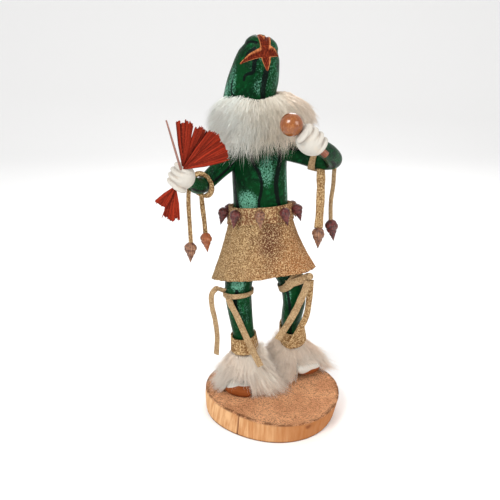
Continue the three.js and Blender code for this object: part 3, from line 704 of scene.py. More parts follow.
def feather_finish():
    tones = bpy.context.scene.dress_feathers

    def paint(n):
        veins = n.noise(900.0, 2.0)
        colour = n.layered(tones.dark, (n.mark("shade"), tones.light),
                           (n.step(veins, 0.5, 0.75), rgb(196, 84, 52), 0.2))
        return {"Base Color": colour, "height": veins, "depth": 0.00008}

    return material("Dyed feather", paint, Roughness=0.7, Specular_IOR_Level=0.08)


def quill_finish():
    def paint(n):
        fine = n.noise(500.0)
        colour = n.mix(fine, rgb(96, 62, 54), rgb(158, 112, 98))
        return {"Base Color": colour, "height": fine, "depth": 0.00005}

    return material("Quill", paint, Roughness=0.45)


def fur_finish():
    """Fur that is warmer in places, darker at some of its tips, and darkened by painted shade among its
    hairs.
    """
    tones = bpy.context.scene.dress_fur

    def paint(n):
        tint = n.add("SeparateColor", {"Color": n.mark("tint", "Color")})
        # Blue in the tint is a share of painted shade, for the shade among the hairs.
        return {"Base Color": n.layered(
            tones.white, (tint["Red"], tones.warm), (tint["Green"], tones.tips),
            (tint["Blue"], tones.roots), (n.patches(400.0, 0.5, 0.8, 2.0), tones.warm, 0.25))}

    return material("Rabbit fur", paint, Roughness=0.8, Specular_IOR_Level=0.2,
                    Sheen_Weight=0.35, Sheen_Roughness=0.5)


def suede(name, base, dark, light, stained=False, scale=900.0, contrast=0.8):
    """Split suede with a coarse nap."""
    tones = bpy.context.scene.dress_suede

    def paint(n):
        rough = nap(n, scale)
        layers = [(n.patches(130.0, 0.4, 0.7), dark, 0.4)]
        if stained:
            # Painted warm light: the suede's right side, reaching further across lower down, is tinted
            # orange as if lit by the warm lamp on the right.
            apart = n.add("SeparateXYZ", {"Vector": n.place})
            across = n.plus(apart["X"], n.times(n.noise(90.0), 0.03))
            across = n.maths("SUBTRACT", across, n.times(apart["Z"], 0.6))
            layers.append((n.step(across, -0.11, -0.04), tones.warm, 0.6))
            layers.append((n.mark("stain"), tones.stain))
        colour = n.layered(base, *layers, (rough["Speckle"], dark, contrast),
                           (rough["Glint"], light, contrast))
        return {"Base Color": colour, "height": rough["Height"], "depth": 0.0022}

    return material(name, paint, Roughness=0.95, Specular_IOR_Level=0.1)


def snail_shell(name, base, dark, rib):
    """Glossy snail shell with pale ribs and darker whorls."""

    def paint(n):
        pale = n.times(n.mark("rib"), n.patches(300.0, 0.35, 0.6, 2.0))
        colour = n.layered(base, (n.patches(420.0, 0.42, 0.6), dark), (pale, rib))
        return {"Base Color": colour, "height": n.noise(1400.0, 2.0), "depth": 0.00015}

    return material(name, paint, Roughness=0.4, Specular_IOR_Level=0.3, Coat_Weight=0.15)


def slab_finish():
    """Sawn end grain above and bare peeled wood round the side."""
    tones = bpy.context.scene.dress_slab

    def paint(n):
        apart = n.add("SeparateXYZ", {"Vector": n.place})
        top = n.mark("top")
        fuzz = n.noise(800.0, 5.0, 0.7, 0.4, (1.0, 1.7, 1.0))
        rim = n.times(n.mark("rim"), n.times(n.patches(200.0, 0.4, 0.6, 4.0), 0.8))
        sawn = n.layered(
            tones.top_dark, (n.step(fuzz, 0.34, 0.56), tones.top_light),
            (n.patches(40.0, 0.42, 0.65), rgb(176, 104, 60), 0.35), (rim, rgb(98, 58, 34)))
        streaks = n.noise(260.0, 4.0, 0.6, stretch=(1.0, 1.0, 0.06))
        side = n.layered(
            tones.side, (n.step(streaks, 0.35, 0.7), rgb(182, 126, 80)),
            (n.patches(24.0, 0.4, 0.7, 2.0), rgb(170, 108, 64), 0.4),
            # Painted light and shade: the right of the flank, turned from the key and lit by the warm
            # lamp, is tinted a darker orange.
            (n.step(apart["X"], -0.03, 0.03), rgb(160, 100, 54), 0.8),
            # The knot's own dark colour, and painted shade down the drying crack.
            (n.mark("knot"), rgb(112, 58, 32)),
            # Darker along the lowest 1.8 mm of the side.
            (n.rest(n.step(apart["Z"], 0.0, 0.0018)), rgb(110, 72, 46)))
        flank = n.times(n.times(streaks, 0.3), n.rest(top))
        return {"Base Color": n.mix(top, side, sawn),
                "height": n.plus(n.times(fuzz, top), flank), "depth": 0.0024}

    return material("Slab wood", paint, Roughness=0.9, Specular_IOR_Level=0.15)


# Painted marks, as values from 0 to 1 on the vertices. A half is a mark's edge.

LINE_POINTS = 60
FURTHEST_FROM_LINE = 6
BATCH = 20000


def line_mark(points, line, start_width, end_width):
    """How far the points are inside a painted line: a half at its edge."""
    path = smooth_path(line, LINE_POINTS)
    widths = np.linspace(start_width, end_width, len(path))
    mark = np.zeros(len(points))
    low, high = path.min(0) - FURTHEST_FROM_LINE, path.max(0) + FURTHEST_FROM_LINE
    near = np.flatnonzero(np.all((points > low) & (points < high), axis=1))
    for first in range(0, len(near), BATCH):
        part = near[first : first + BATCH]
        apart = np.linalg.norm(points[part][:, None] - path[None], axis=2)
        mark[part] = (1 - 0.5 * apart / widths).max(axis=1)
    return np.clip(mark, 0, 1)


def line_marks(points, names, drawn=()):
    """All painted lines on the named limbs, with those that are drawn point by point."""
    mark = np.zeros(len(points))
    for line, start_width, end_width in drawn:
        mark = np.maximum(mark, line_mark(points, line, start_width, end_width))
    for name, angle, start, end, sway, width in WAVY_LINES:
        if name in names:
            t = np.linspace(start, end, 9)
            turn = angle + sway * np.sin(9 * t + 3 * angle)
            mark = np.maximum(mark, line_mark(points, LIMBS[name].point(t, turn), width, width))
    return mark


def worn_mark(points, patches):
    """Where the paint is rubbed pale: [centre, half sizes, strength] and a little everywhere."""
    worn = 0.2 + 0.3 * lumps(points, 14, 5)
    for centre, sizes, strength in patches:
        reach = np.linalg.norm((points - centre) / sizes, axis=1)
        worn = np.maximum(worn, strength * (1 - soft_step(reach, 0.4, 1.1)))
    return np.clip(worn, 0, 1)


def hollow_mark(mesh):
    """1 in the creases of a mesh and 0 on its ridges and flats: where painted shade greys the hands'
    white.
    """
    points = read_points(mesh)
    edges = np.empty(len(mesh.edges) * 2, np.int64)
    mesh.edges.foreach_get("vertices", edges)
    edges = edges.reshape(-1, 2)

    def around(values):
        """The mean of the values at each vertex's neighbours."""
        sums, counts = np.zeros_like(values), np.zeros(len(values))
        for here, there in (edges.T, edges.T[::-1]):
            np.add.at(sums, here, values[there])
            np.add.at(counts, here, 1)
        return (sums.T / np.maximum(counts, 1)).T

    rise = ((around(points) - points) * read_vectors(mesh.vertex_normals, "vector")).sum(1)
    for _ in range(3):
        rise = 0.5 * rise + 0.5 * around(rise)
    return soft_step(rise, 0.004, 0.03)


def wood_marks(mesh, **marks):
    """Keeps the marks that are given, and 0 for the painted wood's others."""
    blank = np.zeros(len(mesh.vertices))
    for name in ("line", "worn", "white", "hollow", "sole", "cut"):
        record(mesh, name, marks.get(name, blank))


# Carved wood.

BODY_VOXEL = 1.0
ARM_VOXEL = 0.55
WHITE_TOP_Z = 56.0
GLOVE_REACH = 9.5
GLOVE_SPAN = 22.0
WRIST_STEPS = 120
# The body's parts: [limb, columns, rows, how far its start and its end bulge].
BODY_PARTS = (
    ("trunk", 72, 120, 0.4, 0.0), ("right_leg", 56, 120, 0.6, 0.0), ("left_leg", 56, 120, 0.6, 0.0),
    ("right_foot", 56, 60, 0.7, 0.35), ("left_foot", 56, 60, 0.7, 0.35),
)
# Soles: [foot, height of the upper edge, how far it falls in ten millimetres].
SOLES = (("right_foot", 27.2, 2.6), ("left_foot", 28.6, 3.0))
TRUNK_WORN = (
    ((-7.4, -4.2, 216), (9, 8, 17), 0.8), ((-22.9, -2.6, 191), (13, 9, 13), 1.0),
    ((8.6, 7.8, 206), (3, 8, 26), 0.8), ((-31, -3, 119), (10, 8, 8), 1.0),
    ((12, -2, 108), (4, 6, 16), 0.7), ((-24, -2, 84), (6, 6, 14), 0.4), ((21, 2, 104), (4, 6, 12), 0.5),
)


def sole_mark(points, foot, height, fall):
    """The brown sole of a moccasin, with an upper edge that falls to one side."""
    toe = LIMBS[foot].centres[-1]
    heading, aside = foot_axes(LIMBS[foot])
    sideways = (points - toe) @ aside
    edge = height - fall * (np.maximum(-sideways, 0) + 0.3 * np.maximum(sideways, 0)) / 10
    near = soft_step((points - toe) @ heading, -60, -50)
    return np.clip(0.5 + (edge - points[:, 2]) / 1.5, 0, 1) * near


def fused(name, parts, voxel, passes):
    """Parts as one skin, its creases eased."""
    return finished(
        name, joined(name, parts),
        ("REMESH", {"mode": "VOXEL", "voxel_size": voxel, "adaptivity": 0.0}),
        ("SMOOTH", {"iterations": passes, "factor": 0.5}),
    )


def rough(mesh, ripple, lowest, highest, cut=0.0):
    """Lets a carved skin swell by a ripple between two heights, and move by a cut."""
    points = read_points(mesh)
    flat = (points[:, 2] < lowest) | (points[:, 2] > highest)
    swell = np.where(flat, 0, ripple)[:, None] * read_vectors(mesh.vertex_normals, "vector")
    write_points(mesh, points + swell + cut)


def carve_body():
    parts = [limb_skin(name, LIMBS[name], columns, rows, start, end)
             for name, columns, rows, start, end in BODY_PARTS]
    mesh = trimmed(trimmed(fused("body", parts, BODY_VOXEL, 5), NECK_Z, False), SOLE_Z, True)
    points = read_points(mesh)
    rough(mesh, 0.16 * lumps(points * (1, 1, 0.5), 5, 3) + 0.08 * lumps(points, 2.2, 4),
          SOLE_Z + 0.1, NECK_Z - 0.1)
    points = read_points(mesh)
    wood_marks(
        mesh,
        line=line_marks(points, ("trunk", "right_leg", "left_leg"), TRUNK_LINES),
        worn=worn_mark(points, TRUNK_WORN),
        white=np.clip(0.5 + (WHITE_TOP_Z - points[:, 2]) / 3, 0, 1),
        sole=np.maximum(*(sole_mark(points, *sole) for sole in SOLES)),
    )
    place_piece("carved_body", mesh, painted_wood(), "painted_wood", "body")


HEAD_WORN = (
    ((-34, 0, 286), (5, 9, 22), 0.7), ((-13, -6, 281), (8, 6, 9), 0.6),
    ((-39, 4, 276), (4, 9, 18), 0.8), ((0, 4, 286), (5, 9, 14), 0.6),
)
HEAD_COLUMNS = 220
HEAD_ROWS = 190


def star_cut(points):
    """How deep the star is cut at each point, and how far inside its edge the point is."""
    centre, inward = np.array(STAR_CENTRE), unit(STAR_IN)
    full = bpy.context.scene.dress_wood.star_depth / MM
    depth = np.zeros(len(points))
    inside = np.full(len(points), -1.0)
    for tip, half_width in STAR_ARMS:
        run = np.array(tip) - centre
        length = np.linalg.norm(run)
        run = run / length
        aside = unit(np.cross(run, inward))
        along = (points - centre) @ run / length
        over = np.abs((points - centre) @ aside)
        below = (points - centre) @ inward
        share = np.interp(along, (-0.12, 0, 0.5, 1.0, 1.06), (0.7, 1, 0.72, 0.16, 0.0))
        fit = (along > -0.12) & (along < 1.06) & (below < 9)
        edge = np.where(fit, 1 - over / np.maximum(share * half_width, 1e-3), -1)
        inside = np.maximum(inside, edge)
        depth = np.maximum(depth, np.clip(edge * 1.4, 0, 1) * share * full)
    return depth, inside


def carve_head():
    whole = limb_skin("head", LIMBS["head"], HEAD_COLUMNS, HEAD_ROWS, 0.0, HEAD_DOME)
    mesh = trimmed(whole, NECK_Z + GAP, True)
    points = read_points(mesh)
    depth, inside = star_cut(points)
    rough(mesh, 0.14 * lumps(points * (1, 1, 0.6), 6, 8) + 0.05 * lumps(points, 2, 9),
          NECK_Z + GAP + 0.1, math.inf, unit(STAR_IN) * depth[:, None])
    wood_marks(
        mesh,
        line=line_marks(points, ("head",), HEAD_LINES),
        worn=worn_mark(points, HEAD_WORN),
        cut=np.clip(0.5 + 0.5 * inside, 0, 1),
    )
    place_piece("carved_head", mesh, painted_wood(), "painted_wood", "head")


def fist_parts(centre, grip, knuckles, pitch):
    """Four fingers side by side along the grip, with the palm behind them and the thumb."""
    axes = fist_axes(grip, knuckles)
    shapes = [((0, -0.4, 0.4), (2.2 * pitch, FIST_RADIUS, FIST_RADIUS))]
    for place in (-1.5, -0.5, 0.5, 1.5):
        reach = FIST_RADIUS - 0.55 * place * place
        shapes.append(((place * pitch, 0.9, -0.9), (0.66 * pitch, reach, reach)))
    shapes.append(((-1.75 * pitch, 3.2, 3.4), (2.2, 0.62 * FIST_RADIUS, 0.72 * FIST_RADIUS)))
    return [egg("fist", np.array(centre) + sum(part * axis for part, axis in zip(place, axes)),
                axes, sizes) for place, sizes in shapes]


def carve_arm(side):
    limb = LIMBS[side + "_arm"]
    parts = [limb_skin(side, limb, 48, 90, 0.5, 0.4), *fist_parts(*FISTS[side])]
    mesh = fused(side, parts, ARM_VOXEL, 3)
    points = read_points(mesh)
    centre = np.array(FISTS[side][0])
    reach = (points - centre) @ unit(limb.centres[-1 - WRIST_STEPS] - centre)
    apart = np.linalg.norm(points - centre, axis=1)
    wood_marks(
        mesh,
        line=line_marks(points, (side + "_arm",)),
        worn=worn_mark(points, ()),
        white=np.clip(0.5 + (GLOVE_REACH - reach) / 3, 0, 1) * (apart < GLOVE_SPAN),
        # Painted shade in the hands' creases.
        hollow=hollow_mark(mesh),
    )
    place_piece(side + "_carved_arm", mesh, painted_wood(), "painted_wood", side + "_arm")


def turn_rattle():
    tones = bpy.context.scene.dress_wood
    held_at, grip, knuckles, _ = FISTS["left"]
    ball = finished("ball", egg("ball", BALL_CENTRE, fist_axes(grip, knuckles), (BALL_RADIUS,) * 3),
                    ("SUBSURF", {"levels": 1, "render_levels": 1}))
    varnish = varnished_wood("Varnished ball", tones.ball, rgb(112, 54, 24), 0.2)
    place_piece("rattle_gourd", ball, varnish, "varnished_wood", "rattle_ball")
    start = BALL_CENTRE + (BALL_RADIUS - 1) * RATTLE_GRIP
    end = np.array(held_at) + STICK_REACH * RATTLE_GRIP
    run = Limb([(*point, STICK_RADIUS, STICK_RADIUS) for point in (start, (start + end) / 2, end)],
               ALONG_DEPTH)
    stain = varnished_wood("Stained stick", tones.stick, rgb(78, 34, 14), 0.45)
    place_piece("rattle_handle", limb_skin("stick", run, 32, 40), stain, "varnished_wood",
                "rattle_stick")


# Slab.

SLAB_COLUMNS = 300
SLAB_TOP_ROWS = 84
SLAB_SIDE_ROWS = 26
SLAB_FOOT_ROWS = 8
CRACK_ANGLE = -2.22
KNOT_ANGLE = -1.05
KNOT_HEIGHT = 13.0
KNOT_SIZE = (4.0, 3.0)


def slab_radius(angle, share):
    radius = SLAB_RADIUS - SLAB_TAPER * share
    for count, size, turn, low, low_turn in SLAB_WAVES:
        radius = radius + (size + (low - size) * share) * np.cos(
            count * angle - (turn + (low_turn - turn) * share))
    return radius


def off_crack(angle):
    """How far an angle is from the crack, in millimetres round the rim."""
    return np.abs(bend(angle, CRACK_ANGLE)) * SLAB_RADIUS


def saw_slab():
    rows = SLAB_TOP_ROWS + SLAB_SIDE_ROWS + SLAB_FOOT_ROWS
    rim_row, foot_row = SLAB_TOP_ROWS / rows, (SLAB_TOP_ROWS + SLAB_SIDE_ROWS) / rows
    crack_depth = bpy.context.scene.dress_slab.crack_depth / MM

    def place(u, v):
        angle = 2 * math.pi * u
        spread = np.clip(v / rim_row, 0, 1)
        drop = np.clip((v - rim_row) / (foot_row - rim_row), 0, 1)
        under = np.clip((v - foot_row) / (1 - foot_row), 0, 1)
        rounded = 0.5 * (np.exp(-drop * 26) + np.exp(-(1 - drop) * 20)) * (v > rim_row - 1e-6)
        radius = slab_radius(angle, drop) * np.where(under > 0, 1 - under, spread) - rounded
        outward = oval((0, 0), 1, 1, angle, 0 * angle)
        points = radius[:, None] * outward + (SLAB_HEIGHT * (1 - drop))[:, None] * UP
        top = (drop <= 0) & (under <= 0)
        fuzz = 0.5 * lumps(points, 1.5, 21) + 0.35 * lumps(points, 3.2, 22)
        ragged = soft_step(spread, 0.93, 1.0)
        points[:, 2] += np.where(top, (fuzz - 0.75) * 0.5 - 0.3 * ragged * (1 + fuzz), 0)
        side = (drop > 0) & (under <= 0)
        chips = 0.22 * lumps(points * (1, 1, 0.2), 2.5, 24)
        crack = crack_depth * (1 - soft_step(off_crack(angle), 0.2, 0.8))
        return points + np.where(side, chips - crack, 0)[:, None] * outward

    mesh = skin("slab", SLAB_COLUMNS, rows, place)
    points = read_points(mesh)
    angle = np.arctan2(points[:, 1], points[:, 0])
    reach = np.hypot(points[:, 0], points[:, 1]) / slab_radius(angle, 0)
    record(mesh, "top", soft_step(points[:, 2], SLAB_HEIGHT - 2.0, SLAB_HEIGHT - 0.9))
    record(mesh, "rim", soft_step(reach + 0.03 * lumps(points, 5, 25), 0.93, 1.0))
    away = np.hypot((angle - KNOT_ANGLE) * SLAB_RADIUS / KNOT_SIZE[0],
                    (points[:, 2] - KNOT_HEIGHT) / KNOT_SIZE[1])
    knot = 0.75 * (1 - soft_step(away + 0.4 * lumps(points, 2, 26), 0.3, 1.2))
    # The knot mark carries the knot's own dark and painted shade in the drying crack.
    dark = np.maximum(knot, 1 - soft_step(off_crack(angle), 0.5, 1.0))
    record(mesh, "knot", dark * (points[:, 2] < SLAB_HEIGHT - 0.8))
    place_piece("slab_slice", mesh, slab_finish(), "slab_wood", "slab")


# Fur.

RUFF_SEED = 7
ANKLE_SEED = 11
RUFF_PARTS = 3
# The skins under the fur: [lowest, highest, share of the fur's reach].
RUFF_PELT = (-6, 17, 0.74)
ANKLE_PELT = (3, 32, 0.6)
FRINGE_SHARE = 0.16
STANDING_SHARE = 0.4
HAIR_SEGMENTS = 2
HAIR_POINTS = 4
TUFT_BATCH = 2000
FURTHEST_STRAY = 1.8
TOE_HALF_WIDTH = 12.5


def ruff_surface(angle, height, share=1.0):
    """The ruff's outline in millimetres at an angle and a height above its middle."""
    spread = np.interp(height, *zip(*RUFF_ROWS))
    wavy = 1 + 0.035 * np.cos(3 * angle + 0.6) + 0.025 * np.cos(7 * angle + 1.9)
    tilt = spread * (4.5 * np.cos(angle) + 1.5 * np.sin(angle))
    raised = RUFF_RISE * soft_step(-np.cos(angle), 0.1, 1) * soft_step(height, 0, 19)
    reach = spread * wavy * share
    return oval(RUFF_CENTRE, reach * RUFF_HALF_WIDTH, reach * RUFF_HALF_DEPTH, angle,
                RUFF_CENTRE[2] + height + tilt + raised)


def ankle_surface(limb, centre, lobes):
    """An ankle's fur: it falls outwards to the slab, further where it has a lobe."""

    def surface(angle, height, share=1.0):
        spread = np.interp(height, *zip(*ANKLE_ROWS))
        top = np.clip(height / ANKLE_ROWS[-1][0], 0, 1)
        ankle = limb.at(limb.centres, 1 - 0.22 * top)
        middle = [start + (ankle[..., axis] - start) * top for axis, start in enumerate(centre)]
        reach = spread * share * (1 + 0.04 * np.cos(5 * angle + 0.8))
        for turn, size, width, narrowing in lobes:
            lobe = np.exp(-(bend(angle, turn) / width) ** 2)
            reach = reach + share * size * lobe * (1 - top) ** narrowing
        return oval(middle, ANKLE_HALF_WIDTH * reach, ANKLE_HALF_DEPTH * reach, angle,
                    SOLE_Z + height)

    return surface


def sliver(lengths, make, **sizes):
    """A small upright solid cut in lengths: its points and its triangles."""
    shape = bmesh.new()
    make(shape, **sizes)
    upright = [edge for edge in shape.edges if abs(edge.verts[0].co.z - edge.verts[1].co.z) > 0.5]
    bmesh.ops.subdivide_edges(shape, edges=upright, cuts=lengths - 1)
    bmesh.ops.triangulate(shape, faces=shape.faces)
    bmesh.ops.remove_doubles(shape, verts=shape.verts, dist=1e-5)
    shape.verts.index_update()
    points = np.array([vertex.co[:] for vertex in shape.verts])
    faces = np.array([[vertex.index for vertex in face.verts] for face in shape.faces])
    shape.free()
    return points, faces


def tiled_mesh(name, where, faces):
    """Many copies of one small triangle shape: where is [copy, point, xyz]."""
    count, size = where.shape[:2]
    mesh = bpy.data.meshes.new(name)
    mesh.vertices.add(count * size)
    mesh.loops.add(count * faces.size)
    mesh.polygons.add(count * len(faces))
    corners = (faces[None] + (np.arange(count) * size)[:, None, None]).ravel()
    mesh.vertices.foreach_set("co", where.astype(np.float32).ravel())
    mesh.loops.foreach_set("vertex_index", corners.astype(np.int32))
    mesh.polygons.foreach_set("loop_start", np.arange(0, count * faces.size, 3, dtype=np.int32))
    mesh.update(calc_edges=True)
    return mesh


def hair_mesh(name, paths, widths, tints):
    """Many hairs in one mesh, each three-sided and pointed: a path, a width and a tint for each."""
    points, faces = sliver(HAIR_SEGMENTS, bmesh.ops.create_cone, cap_ends=False, segments=3,
                           radius1=1, radius2=0, depth=1)
    along = points[:, 2] + 0.5
    count, steps = paths.shape[:2]
    place = np.clip(along * (steps - 1), 0, steps - 1)
    low = np.minimum(place.astype(int), steps - 2)
    part = (place - low)[None, :, None]
    centres = paths[:, low] * (1 - part) + paths[:, low + 1] * part
    run = unit(paths[:, -1] - paths[:, 0])
    side = unit(np.cross(run, UP + 0.37 * run[:, ::-1]))
    other = np.cross(run, side)
    ring = points[None, :, :2] * widths[:, None, None]
    where = centres + ring[..., :1] * side[:, None] + ring[..., 1:] * other[:, None]
    mesh = tiled_mesh(name, where, faces)
    shades = np.repeat(tints[:, None], len(points), axis=1).copy()
    shades[..., 1] *= along[None] ** 2
    record(mesh, "tint", shades.reshape(-1, 3))
    return mesh


def combed(surface, roots, drop, rise, random, lift):
    """Hairs that follow a surface down from roots (angle, height, share), swelling outwards."""
    angle, height, share = roots
    count = len(angle)
    travel = np.linspace(0, 1, HAIR_POINTS)[None]
    sway = random.normal(0, 0.09, count)[:, None] * travel**1.5
    low = height[:, None] - drop[:, None] * travel
    reach = share[:, None] + (rise - share)[:, None] * travel**0.8
    points = surface(angle[:, None] + sway, low, reach)
    stray = random.normal(0, 1, (count, 1, 3)).clip(-FURTHEST_STRAY, FURTHEST_STRAY)
    return points + lift * stray * (drop[:, None] * travel**2)[..., None]


def tufted(paths, hairs, pull, random):
    """Draws the hairs together in tufts, more and more towards their tips."""
    leaders = paths[random.choice(len(paths), len(paths) // hairs, replace=False)]
    nearest = np.empty(len(paths), int)
    for first in range(0, len(paths), TUFT_BATCH):
        part = slice(first, first + TUFT_BATCH)
        apart = np.linalg.norm(paths[part, None, 0] - leaders[None, :, 0], axis=2)
        nearest[part] = apart.argmin(axis=1)
    along = np.linspace(0, 1, paths.shape[1]) ** 1.3
    pull = pull * random.uniform(0.4, 1, len(paths))
    return paths + (leaders[nearest] - paths) * pull[:, None, None] * along[None, :, None]


def pelt(name, node, surface, low, high, share):
    """The skin under the fur, closed above and below."""

    def place(u, v):
        height = low + (high - low) * np.clip((v - 0.1) / 0.8, 0, 1)
        reach = share * np.clip(np.minimum(v, 1 - v) / 0.1, 0, 1)
        return surface(2 * math.pi * u, height, reach)

    mesh = skin(name, 80, 36, place)
    warm = 0.5 + 0.5 * lumps(read_points(mesh), 9, 31)
    # The skin under the hairs is warmer in random lumps and takes a share of painted shade, for the
    # shade beneath the fur.
    record(mesh, "tint", np.stack([warm, 0 * warm, 0 * warm + 0.3], axis=1))
    place_piece(name, mesh, fur_finish(), "fur", node)


def hair_tints(paths, warm, tips, roots, random):
    """Each hair's shares of the warm colour, the tip colour and the painted shade among the hairs."""
    tips = np.clip(random.normal(tips, 0.2, len(paths)), 0, 0.8)
    # Each hair's share of painted shade, for the shade among the hairs.
    roots = np.clip(random.normal(roots, 0.15, len(paths)), 0, 0.9)
    return np.stack([np.clip(warm, 0, 1), tips, roots], axis=1)


def ruff_hairs(part, count, random):
    low_angle = 2 * math.pi * part / RUFF_PARTS
    angle = low_angle + random.uniform(0, 2 * math.pi / RUFF_PARTS, count)
    fringe = random.random(count) < FRINGE_SHARE
    height = np.where(fringe, random.uniform(-10, -2, count), random.uniform(-4, 20, count))
    share = random.uniform(0.5, 0.9, count)
    drop = random.uniform(7, 14.5, count) * np.interp(height, (-4, 10, 19), (0.72, 1, 1))
    drop = np.where(fringe, 5 + 20 * random.random(count) ** 2, drop)
    left = soft_step(-np.cos(angle), 0.2, 1)
    swell = 0.07 * lumps(ruff_surface(angle, height), 8, 41) + 0.1 * left
    rise = 0.88 + 0.2 * random.random(count) + swell
    paths = combed(ruff_surface, (angle, height, share), drop, rise, random, 0.17)
    paths = tufted(paths, 11, 0.7, random)
    # Painted shade: the ruff's right side, turned from the key light, is tinted warmer and darker.
    # Random warm lumps run over all of it.
    right = soft_step(paths[:, 0, 0], -30, 18)
    warm = 0.8 * right + 0.25 * lumps(paths[:, 0], 8, 42)
    # More painted shade on the front middle of the ruff, for the shade between its wisps.
    middle = np.exp(-((paths[:, 0, 0] + 6) / 16) ** 2) * (paths[:, 0, 1] < RUFF_CENTRE[1])
    tints = hair_tints(paths, warm, np.where(fringe, 0.35, 0.06), 0.02 + 0.5 * middle, random)
    widths = random.uniform(0.13, 0.25, count) * np.where(fringe, 0.8, 1)
    return paths, widths, tints


def dress_ruff():
    random = np.random.default_rng(RUFF_SEED)
    count = bpy.context.scene.dress_fur.ruff_hairs // RUFF_PARTS
    pelt("ruff_pelt", "neck_ruff", ruff_surface, *RUFF_PELT)
    for part in range(RUFF_PARTS):
        name = f"ruff_fur_{part + 1}"
        place_piece(name, hair_mesh(name, *ruff_hairs(part, count, random)), fur_finish(), "fur")


def foot_top(points, foot):
    """The height of the top of a foot under the points, and 0 beside it."""
    heading, aside = foot_axes(foot)
    place = np.interp(points @ heading, foot.centres @ heading, foot.place)
    centres, radii = foot.at(foot.centres, place), foot.at(foot.radii, place)
    apart = (points - centres) / radii[..., :1]
    dome = 1 - (apart @ aside) ** 2 - (apart @ heading) ** 2
    return np.where(dome > 0, centres[..., 2] + radii[..., 1] * np.sqrt(np.maximum(dome, 0)), 0)


def ankle_hairs(surface, foot, bare, bare_top, stand, lobes, random):
    """Hairs over the whole ankle but the toes, and more of them where the fur spreads."""
    count = bpy.context.scene.dress_fur.ankle_hairs
    heading, aside = foot_axes(foot)
    angle = random.uniform(0, 2 * math.pi, count)
    for turn, size, width, _ in lobes:
        moved = random.random(count) < 0.3 * size
        angle = np.where(moved, turn + random.normal(0, 0.8 * width, count), angle)
    height = random.uniform(4, 33, count)
    share = random.uniform(0.4, 0.85, count)
    drop = np.minimum(random.uniform(9, 22, count), height - 0.4)
    rise = 0.8 + 0.5 * random.random(count) ** 1.8
    standing = (np.cos(angle - stand) > 0.5) & (random.random(count) < STANDING_SHARE)
    height = np.where(standing, random.uniform(22, 33, count), height)
    drop = np.where(standing, -random.uniform(2, 15, count), drop)
    paths = combed(surface, (angle, height, share), drop, rise, random, 0.21)
    paths = tufted(paths, 12, 0.65, random)
    floor = SLAB_HEIGHT + 0.4 + random.uniform(0, 0.8, len(paths))
    paths[..., 2] = np.maximum(paths[..., 2], floor[:, None])
    lift = random.uniform(0.3, 1.2, len(paths))
    paths[..., 2] = np.maximum(paths[..., 2], foot_top(paths, foot) + lift[:, None])
    apart = paths - foot.centres[-1]
    over = ((apart @ heading > bare) & (np.abs(apart @ aside) < TOE_HALF_WIDTH)
            & (paths[..., 2] < SOLE_Z + bare_top))
    paths = paths[~over.any(axis=1)]
    warm = 0.65 + 0.35 * lumps(paths[:, 0], 10, 51)
    widths = random.uniform(0.13, 0.24, len(paths))
    return paths, widths, hair_tints(paths, warm, 0.05, 0.0, random)


def dress_ankle(side):
    random = np.random.default_rng(ANKLE_SEED)
    centre, bare, bare_top, stand, lobes = ANKLES[side]
    surface = ankle_surface(LIMBS[side + "_leg"], centre, lobes)
    pelt(side + "_ankle_pelt", side + "_ankle_fur", surface, *ANKLE_PELT)
    hairs = ankle_hairs(surface, LIMBS[side + "_foot"], bare, bare_top, stand, lobes, random)
    place_piece(side + "_ankle_hair", hair_mesh(side + "_fur", *hairs), fur_finish(), "fur")


# Suede.

KILT_COLUMNS = 230
KILT_ROWS = 52
KILT_THICKNESS = 1.5
STRIP_POINTS = 240
# How much of a thong its lead bends.
LEAD_SHARE = 1 / 12


def on_kilt(angle, down, out):
    """A point of the kilt: down runs from 0 at the waist to 1 at the hem."""
    flare = np.maximum(0, down) ** (1.5 + 0.2 * np.cos(angle))
    folds = 0.9 * flare * (np.cos(5 * angle + 3.4) + 0.6 * np.cos(8 * angle + 0.6))
    across = WAIST_RADII[0] + 19.4 * flare + folds + out
    depth = WAIST_RADII[1] + 8 * flare + folds + out
    waist = WAIST_Z + 1.6 * np.cos(angle) - 2 * np.sin(angle)
    hem = HEM_Z + 5.5 * np.cos(angle) - 3.6 * np.sin(angle)
    middle = [high + (low - high) * down for high, low in zip(WAIST_CENTRE, HEM_CENTRE)]
    return oval(middle, across, depth, angle, waist + (hem - waist) * down)


def uneven(points, swell, size, seed):
    """Points that swell in and out level, in lumps."""
    return points + (swell * lumps(points, size, seed))[:, None] * unit(points * (1, 1, 0))


def closed_band(name, columns, rows, inner, outer):
    """A ring with walls: inner and outer give a point for an angle and a place from 0 to 1."""

    def place(u, v):
        angle = 2 * math.pi * u
        turn = (v * 2) % 2
        outside = outer(angle, np.clip(turn * 1.04 - 0.02, 0, 1))
        inside = inner(angle, np.clip((2 - turn) * 1.04 - 0.02, 0, 1))
        return np.where((turn <= 1)[:, None], outside, inside)

    return skin(name, columns, rows, place)


STAIN_CENTRE = (-4.0, 162.0)
STAIN_SIZE = (12.0, 21.0)


